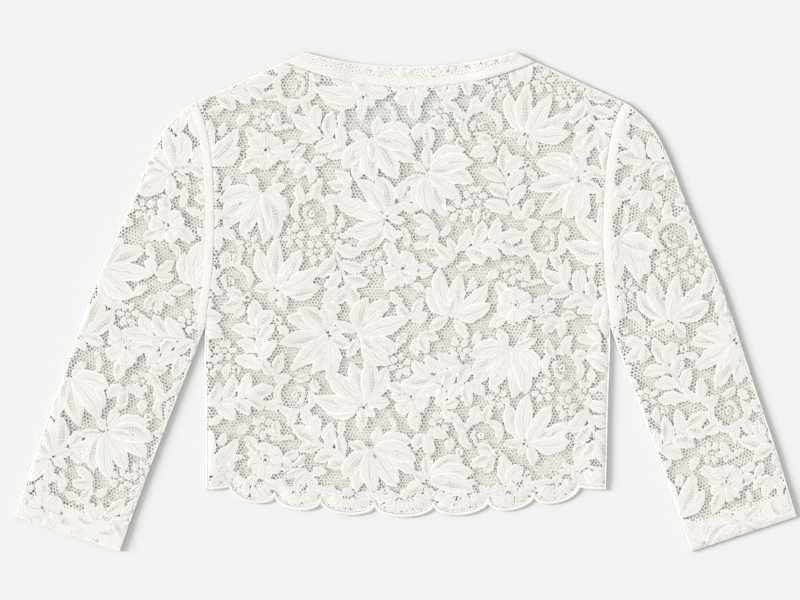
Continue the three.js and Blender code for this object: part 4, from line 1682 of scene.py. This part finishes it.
# %% Lay the sleeves
CUFF_HOLE = 0.14
SLEEVE_UNDER_HOLE = 0.12
SLEEVE_GRAIN = 23.2  # degrees, how far a sleeve leans from the body
SLEEVE_DENSE = {"fold": FOLD_MARGIN, "hem": CUFF_DEPTH, "seam": TAPE_WIDTH}
SLEEVE_PRESSED = {"seam": (TAPE_WIDTH, 0.0), "hem": (CUFF_DEPTH, 0.3)}
# where the repeat starts on each layer, and the seed of its net
SLEEVE_LAYERS = {
    "sleeve_top_left": (30, 60, 11), "sleeve_under_left": (30, 190, 10),
    "sleeve_top_right": (125, -20, 13), "sleeve_under_right": (125, 110, 12),
}
for side, word in SIDES:
    layers = []
    for name in ("sleeve_top_" + word, "sleeve_under_" + word):
        top = PIECES[name].face > 0
        grain = side * SLEEVE_GRAIN
        *start, seed = SLEEVE_LAYERS[name]
        items = trimmed(repeat_over(PIECES[name], grain, start), PIECES[name])
        layers.append(lace_layer(
            name, items, FINE if top else PLAIN, grain, SLEEVE_DENSE, seed=seed, pressed=SLEEVE_PRESSED,
            hole=OPEN_HOLE if top else SLEEVE_UNDER_HOLE,
            relief=UPPER_RELIEF if top else LOWER_RELIEF, dense_hole=CUFF_HOLE))
    leaves, nets = zip(*layers)
    PARTS[f"sleeve_{word}_lace"] = joined(f"sleeve_{word}_lace", leaves)
    PARTS[f"sleeve_{word}_net"] = joined(f"sleeve_{word}_net", nets)

# %% Lay the neckband
BAND_HOLE = 0.24
BAND_STRIP_HOLE = 0.2
BAND_STRIP = 9.0  # the lower part of the band, where the tape shows
BAND_SPACING = 7.0  # millimetres from one strewn shape to the next
BAND_GRAIN = 15
BAND_RELIEF = 0.8
SMALL_SHAPES = ("bud", "leaf", "leaf_left", "leaf_right", "petal", "crescent", "ring")
BANDS = {
    "neckband_back": ("band_top", "band_under"), "neckband_front_left": ("band_left",),
    "neckband_front_right": ("band_right",),
}


def strewn(piece, spacing, seed):
    """Small leaves, buds and eyelets strewn over a narrow strip."""
    draw = random.Random(seed)
    low, high = piece.box()
    items, taken = [], []
    for _ in range(int((high[0] - low[0]) * (high[1] - low[1]) / spacing)):
        x, y = draw.uniform(low[0], high[0]), draw.uniform(low[1], high[1])
        if all(math.hypot(x - a, y - b) > spacing for a, b in taken):
            taken.append((x, y))
            shape = draw.choice(SMALL_SHAPES)
            long = draw.uniform(7, 11) if shape in ("ring", "bud", "petal") else draw.uniform(11, 17)
            wide = long * SHAPES[shape][3] * 1.15
            items.append((shape, x, y, draw.uniform(0, 360), long, wide))
    return trimmed(items, piece, {"seam": BAND_STRIP}, 0.25)


band_meshes = {}
for number, name in enumerate(("band_left", "band_right", "band_top", "band_under")):
    top = name == "band_top"
    items = strewn(PIECES[name], BAND_SPACING, 60 + number)
    band_meshes[name] = lace_layer(
        name, items, PLAIN, BAND_GRAIN, {"seam": BAND_STRIP} if top else None, hole=BAND_HOLE,
        relief=BAND_RELIEF if top else LOWER_RELIEF, seed=20 + number, dense_hole=BAND_STRIP_HOLE)
for node, names in BANDS.items():
    meshes = [mesh for name in names for mesh in band_meshes[name]]
    PARTS[node + "_lace"] = joined(node + "_lace", meshes)

# %% [markdown]
# ## Cords along the edges
# The scalloped hem ends in a cord, with a thinner one inside it. A tube that follows a curve
# is one more tree: Curve to Mesh along the edge's points, with a small ring as its section.

# %% The tree for a cord
CORD_SIDES = 6
CORD_STEP = 1.6  # millimetres from one ring of its points to the next
CORD_FLATNESS = 0.4


def cord_tree():
    graph, given = geometry_graph("cord", [
        ("Path", "Geometry"), ("Radius", "Float"), ("Sides", "Int"), ("Material", "Material"),
    ])
    path = graph.add("GeometryNodeMeshToCurve", None, {"Mesh": given("Path")})
    ring = graph.add("GeometryNodeCurvePrimitiveCircle", None, {
        "Radius": given("Radius"), "Resolution": given("Sides"),
    })
    pipe = graph.add("GeometryNodeCurveToMesh", None, {
        "Curve": path.outputs[0], "Profile Curve": ring.outputs[0], "Fill Caps": True,
    })
    return end_tree(graph, pipe.outputs[0], given("Material"))


CORD_TREE = cord_tree()
print("the cord's tree has", len(CORD_TREE.nodes), "nodes")


def resampled(points, step):
    """Points at even steps along a line of points."""
    lengths = np.hypot(*np.diff(points, axis=0).T)
    far = np.concatenate([[0], np.cumsum(lengths)])
    at = np.linspace(0, far[-1], max(3, int(far[-1] / step)))
    return np.stack([np.interp(at, far, points[:, k]) for k in range(points.shape[1])], -1)


def tube(name, flat, radius, sides, material):
    """A round tube along points on the table."""
    path = bpy.data.meshes.new("path")
    points = [(x * MM, y * MM, 0) for x, y in flat]
    path.from_pydata(points, [(k, k + 1) for k in range(len(points) - 1)], [])
    settings = {"Radius": radius * MM, "Sides": sides, "Material": material}
    return run_tree(CORD_TREE, name, path, settings)


def cord(name, piece, flat, radius, lift):
    """A flattened cord along points of a cut piece, lifted over it towards its right side."""
    mesh = tube(name, resampled(flat, CORD_STEP), radius, CORD_SIDES, STITCHED)
    points = read_points(mesh)
    across, down = draft(points[:, :2] / MM)
    reach, _ = piece.reach(points[:, :2] / MM)
    level = piece.height(across, down, reach) + piece.face * lift
    points[:, 2] = points[:, 2] * CORD_FLATNESS + level * MM
    set_points(mesh, points)
    mesh.shade_smooth()
    mesh.update()
    return mesh

# %% Cords of the hem
# how far in each cord lies, and its radius on the back and on a front
HEM_CORDS = ((1.2, 1.8, 0.5), (4.2, 0.7, 0.4))
CORD_LIFT = 0.25
CENTRE_GAP = 0.5  # half the gap between the fronts
HEM_POINTS = 1200
HEM_ENDS = {
    "back": (-HEM_HALF, HEM_HALF), "front_left": (-HEM_HALF, -CENTRE_GAP),
    "front_right": (CENTRE_GAP, HEM_HALF),
}


def hem_line(first, last, up):
    """The hem's edge, moved up into the piece."""
    across = np.linspace(first, last, HEM_POINTS)
    return plan(across, hem(across) - up)


for name, ends in HEM_ENDS.items():
    top = name == "back"
    cords = []
    for inward, wide, narrow in HEM_CORDS:
        line = hem_line(*ends, inward)
        cords.append(cord(name, PIECES[name], line, wide if top else narrow, CORD_LIFT if top else 0))
    PARTS[name + "_hem"] = joined(name + "_hem", cords)

# %% [markdown]
# ## Rolled edges
# Where cloth is folded, or turned at a side seam, it rolls over from the upper layer to the
# lower one. The same tube makes the roll: it is stretched in height until it reaches from
# one layer to the other, and from above it shows as a thin bright edge.

# %% Rolled edges of the folds, side seams and cuff ends
ROLL = 1.15  # millimetres, half the width of a roll
ROLL_SIDES = 10
ROLL_IN = 0.8  # shares of that by which a roll and a sleeve's end are moved in
END_IN = 0.7
ROLL_TOP = 0.24  # over the middle of the lace
BAND_ROLL_TOP = 0.4
ROLL_STEP = 2.4
ROLL_FROM = 2.6  # the heights are taken this far inside the edge


def moved_in(points, piece, by):
    """The same line of points, moved into the piece."""
    ahead = np.gradient(points, axis=0)
    across = np.stack([-ahead[:, 1], ahead[:, 0]], -1) / np.hypot(*ahead.T)[:, None]
    middle = len(points) // 2
    side = 1 if piece.inside((points[middle] + across[middle])[None])[0] else -1
    return points + side * by * across


def level_of(piece, points, lift):
    return piece.height(*draft(points), piece.reach(points)[0]) + piece.face * lift


def rolled(edge_points, top, under, lift=ROLL_TOP):
    """A roll along an edge, from the top of one cut piece to the underside of another."""
    edge_points = resampled(edge_points, ROLL_STEP)
    flat = moved_in(edge_points, top, ROLL * ROLL_IN)
    inner = moved_in(edge_points, top, ROLL_FROM)
    high, low = level_of(top, inner, lift), level_of(under, inner, ROLL_TOP)
    mesh = tube("roll", flat, ROLL, ROLL_SIDES, ROLLED)
    points = read_points(mesh)
    nearest = np.hypot(*(points[:, None, :2] / MM - flat).transpose(2, 0, 1)).argmin(1)
    share = (points[:, 2] / MM / ROLL + 1) / 2
    points[:, 2] = lerp(low[nearest], high[nearest], share) * MM
    store(mesh, "high", "FLOAT", share)
    set_points(mesh, points)
    mesh.shade_smooth()
    mesh.update()
    return mesh


for side, word in SIDES:
    top, under = PIECES["sleeve_top_" + word], PIECES["sleeve_under_" + word]
    parts = []
    for kind, points in mirrored(sleeve_edges(), side):
        if kind == "fold":
            parts.append(rolled(points, top, under))
        if kind == "hem":
            for piece in (top, under):
                line = moved_in(points, piece, ROLL * END_IN)
                parts.append(cord("end", piece, line, ROLL, ROLL_TOP - ROLL / 2))
    PARTS[f"sleeve_{word}_folds"] = joined(f"sleeve_{word}_folds", parts)
seams = []
for side, word in SIDES:
    for kind, points in mirrored(body_edges(back_neck), side):
        if kind == "side":
            seams.append(rolled(points, PIECES["back"], PIECES["front_" + word]))
PARTS["back_sideseams"] = joined("back_sideseams", seams)
top_fold = plan(*band_fold(np.linspace(-1, 1, 200)))
neck_roll = rolled(top_fold, PIECES["band_top"], PIECES["band_under"], BAND_ROLL_TOP)
PARTS["neckband_back_fold"] = joined("neckband_back_fold", [neck_roll])

# %% [markdown]
# ## Cuffs
# The end of each sleeve is turned up inside it and stitched, so a cuff has two layers of
# lace above and two below. The second layer's net fills the holes of the first.

# %% The turned-up part of each sleeve
TURN_UP_UNDER = 0.45  # millimetres below the lace that shows
CUFF_RELIEF = 0.4
CUFF_SPARE = 9  # millimetres, so that the whole turned-up part is dense
CUFF_SHARE = 0.72  # of a row of the sleeve's table, up from the cuff's row

for number, (side, word) in enumerate(SIDES):
    edges = mirrored(sleeve_edges(CUFF_ROW - CUFF_SHARE), side)
    grain = side * SLEEVE_GRAIN + 180
    meshes = []
    for level, height, face in (("top", sleeve_top, 1), ("under", sleeve_bottom, -1)):
        name = f"cuff_{level}_{word}"
        piece = PIECES[name] = Piece(name, edges, height, face)
        items = trimmed(repeat_over(piece, grain, (70 * number + 20 * face, 150)), piece)
        meshes += lace_layer(
            name, items, PLAIN, grain, {"hem": CUFF_DEPTH + CUFF_SPARE}, relief=CUFF_RELIEF,
            seed=40 + 2 * number + face, drop=TURN_UP_UNDER, dense_hole=CUFF_HOLE)
    PARTS[f"sleeve_{word}_cuff"] = joined(f"sleeve_{word}_cuff", meshes)

# %% [markdown]
# ## Tapes
# Narrow woven tapes cover the raw seam allowances from inside. They show through the lace
# as smooth pale strips: one along the back neck and one along each armhole, where the leaves
# are pressed flat and the tape lies nearly level with them.

# %% The woven tapes
TAPE_ACROSS = (0, 0.06, 0.2, 0.5, 0.8, 0.94, 1)  # a tape's section, from edge to edge
TAPE_RIDGE = (0, 0.16, 0.12, 0.16, 0.12, 0.16, 0)
RIPPLE = 0.06  # millimetres
RIPPLE_TURNS = 210  # radians of rippling from end to end
RIPPLE_SLANT = 3


def tape(name, one, other, first, last, piece, under, count):
    """A flat woven ribbon between two curves, a little under a cut piece."""
    u = np.linspace(first, last, count)
    rows = []
    for share, high in zip(TAPE_ACROSS, TAPE_RIDGE):
        (x0, y0), (x1, y1) = one(u), other(u)
        flat = plan(lerp(x0, x1, share), lerp(y0, y1, share))
        ripple = RIPPLE * np.sin(u / (last - first) * RIPPLE_TURNS + share * RIPPLE_SLANT)
        level = piece.height(*draft(flat), piece.reach(flat)[0]) - under
        rows.append(np.column_stack([flat, level + high + ripple]) * MM)
    points = np.concatenate(rows)
    faces = []
    for i in range(len(TAPE_ACROSS) - 1):
        for j in range(count - 1):
            row, row_after = i * count, (i + 1) * count
            faces.append((row + j, row_after + j, row_after + j + 1, row + j + 1))
    mesh = bpy.data.meshes.new(name)
    mesh.from_pydata([tuple(p) for p in points], [], faces)
    mesh.update()
    if mesh.polygons[0].normal.z < 0:
        mesh.flip_normals()
    mesh.shade_smooth()
    mesh.materials.append(TAPE_YARN)
    return mesh


TAPE_UNDER = 0.04  # millimetres below the sleeve's lace
TAPE_START = -0.3  # from the armhole's seam
TAPE_PAST_TOP = 12  # how far it runs on at both ends
TAPE_PAST_END = 6


def armhole_line(side, aside):
    """A line beside an armhole, as a function of the level."""
    return lambda down: (side * (body_half(down) + aside), down)


for side, word in SIDES:
    inner, outer = armhole_line(side, TAPE_START), armhole_line(side, TAPE_WIDTH)
    ribbon = tape("tape", inner, outer, TAPE_TOP - TAPE_PAST_TOP, TAPE_END + TAPE_PAST_END,
                  PIECES["sleeve_top_" + word], TAPE_UNDER, 150)
    PARTS["woven_tape_" + word] = joined("woven_tape_" + word, [ribbon])

NECK_TAPE_REACH = 0.985  # share of the neckband's length
NECK_TAPE_UNDER = 0.2
NECK_TAPE_FROM = 0.02  # shares of the band's depth, up from its seam
NECK_TAPE_TO = 0.44


def up_the_band(share):
    """A line along the neckband, between its seam and its fold."""
    return lambda u: lerp(np.array(band_seam(u)), np.array(band_fold(u)), share)


ribbon = tape("tape", up_the_band(NECK_TAPE_TO), up_the_band(NECK_TAPE_FROM),
              -NECK_TAPE_REACH, NECK_TAPE_REACH, PIECES["band_top"], NECK_TAPE_UNDER, 180)
PARTS["woven_tape_neck"] = joined("woven_tape_neck", [ribbon])

# %% [markdown]
# ## What each piece is to the model
# Every piece of cloth rides on the one body and stands for its solid, which is hidden.

# %% Ride and replace
STANDS_FOR = {"woven_tape_neck": "neck_tape", "woven_tape_left": "armhole_tape_left",
              "woven_tape_right": "armhole_tape_right"}
for name, piece in PARTS.items():
    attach(piece, "root")
    "tape" if "tape" in name else "lace"
    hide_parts(STANDS_FOR.get(name, name.rsplit("_", 1)[0]))
print(len(PARTS), "pieces ride on the garment")
for library in (FINE, PLAIN):
    for shape in list(library.objects):
        bpy.data.objects.remove(shape)
    bpy.data.collections.remove(library)

# %% The sizes that the cloth was cut to
LEAST_WIDTH = 0.01  # metres, the narrowest that a sheet is declared


def flat_size(name, grain=0.0, layers=1):
    """The width and length of a cut piece laid flat, along its grain, in metres."""
    c, s = math.cos(math.radians(grain)), math.sin(math.radians(grain))
    across, down = draft(PIECES[name].outline)
    turned_x, turned_y = across * c - down * s, -down * c - across * s
    return float(np.ptp(turned_x)) * layers * MM, float(np.ptp(turned_y)) * MM


def sheet(name, flat, area, held, rests_on, *with_parts):
    print(f"{name}: {flat[0]:.3f} by {flat[1]:.3f} m, {area:.4f} m2")


sheet("back_lace", flat_size("back"), PIECES["back"].area(), "laid", ["front_left", "front_right"],
      "back_net", "back_hem", "back_sideseams")
for side, word in SIDES:
    front, sleeve, sleeve_cut = "front_" + word, "sleeve_" + word, "sleeve_top_" + word
    sheet(front + "_lace", flat_size(front), PIECES[front].area(), "laid", ["floor"],
          front + "_net", front + "_hem")
    sheet(sleeve + "_lace", flat_size(sleeve_cut, side * SLEEVE_GRAIN, 2), 2 * PIECES[sleeve_cut].area(),
          "folded", ["floor"], sleeve + "_net", sleeve + "_folds", sleeve + "_cuff")
    strip = PIECES["band_" + word].area()
    sheet(f"neckband_front_{word}_lace", (BAND_DEPTH * MM, strip / (BAND_DEPTH * MM)), strip,
          "laid", ["floor"])
    tape_long = (TAPE_END - TAPE_TOP + TAPE_PAST_TOP + TAPE_PAST_END) * MM
    tape_area = (TAPE_WIDTH - TAPE_START) * MM * tape_long
    sheet("woven_tape_" + word, (LEAST_WIDTH, tape_long), tape_area, "laid", [sleeve])
strip = 2 * PIECES["band_top"].area()
sheet("neckband_back_lace", (2 * BAND_DEPTH * MM, strip / (2 * BAND_DEPTH * MM)), strip,
      "folded", ["floor"], "neckband_back_fold")
neck_line = plan(*band_seam(np.linspace(-1, 1, 200)))
neck_long = float(np.hypot(*np.diff(neck_line, axis=0).T).sum()) * MM
neck_deep = (NECK_TAPE_TO - NECK_TAPE_FROM) * BAND_DEPTH * MM
sheet("woven_tape_neck", (LEAST_WIDTH, neck_long), neck_deep * neck_long, "laid", ["neckband_back"])

# %% [markdown]
# ## Floor, light and camera
# A pale matt floor. A wide soft light from the left gives the garment its faint shadow at
# the right-hand edges, and an even light from all round fills the rest. The camera hangs
# high over the table with a long lens, so the view is straight down.

# %% The floor
FLOOR = 6.0  # metres, half its width
FLOOR_UNDER = 0.0002  # metres below level 0, so that no thread lies in it
PAPER_DARK = (0.795, 0.795, 0.79, 1)
PAPER_LIGHT = (0.812, 0.812, 0.81, 1)
floor_mesh = bpy.data.meshes.new("floor")
corners = [(-FLOOR, -FLOOR, 0), (FLOOR, -FLOOR, 0), (FLOOR, FLOOR, 0), (-FLOOR, FLOOR, 0)]
floor_mesh.from_pydata(corners, [], [(0, 1, 2, 3)])
floor = scratch_object("floor", floor_mesh)
floor.location.z = -FLOOR_UNDER
paper, graph, shader = shader_graph("pale_floor")
mottle = noise(graph, graph.add("ShaderNodeTexCoord").outputs["Object"], 7.0, 4.0, 0.5)
graph.put(shader.inputs["Base Color"], mix_colour(graph, mottle, PAPER_DARK, PAPER_LIGHT))
shader.inputs["Roughness"].default_value = 0.95
shader.inputs["Specular IOR Level"].default_value = 0.0
floor_mesh.materials.append(paper)
print("the floor is", 2 * FLOOR, "m wide")

# %% The light
WORLD_LIGHT = 0.662
SUN_STRENGTH = 3.5
SUN_HEIGHT = 24  # degrees over the table
SUN_WIDE = 26  # degrees that the light fills
SUN_FROM = (-1, 0.15)  # from the left, and a little from the neck
world = bpy.data.worlds.new("studio")
world.use_nodes = True
world.node_tree.nodes["Background"].inputs["Color"].default_value = (1, 1, 1, 1)
world.node_tree.nodes["Background"].inputs["Strength"].default_value = WORLD_LIGHT
bpy.context.scene.world = world
sun = bpy.data.objects.new("window", bpy.data.lights.new("window", "SUN"))
sun.data.energy = SUN_STRENGTH
sun.data.angle = math.radians(SUN_WIDE)
bpy.context.scene.collection.objects.link(sun)
sun_from = Vector((*SUN_FROM, math.tan(math.radians(SUN_HEIGHT))))
sun.rotation_euler = sun_from.to_track_quat("Z", "Y").to_euler()
print("the light comes from", SUN_HEIGHT, "degrees over the table")

# %% The camera
VIEW_WIDE = 0.84  # metres that the frame takes in
VIEW_MIDDLE = (-0.00635, 0.00184)
LENS = 120
SENSOR = 36
lens = bpy.data.cameras.new("camera")
lens.lens = LENS
lens.sensor_width = SENSOR
camera = bpy.data.objects.new("camera", lens)
camera.location = (*VIEW_MIDDLE, VIEW_WIDE * LENS / SENSOR)
bpy.context.scene.collection.objects.link(camera)
bpy.context.scene.camera = camera
bpy.context.scene.view_settings.view_transform = "Standard"
print("the camera hangs", round(camera.location.z, 2), "m over the table")

# %% The triangles in all
print("triangles in all:", sum(len(f.vertices) - 2 for o in PARTS.values() for f in o.data.polygons))
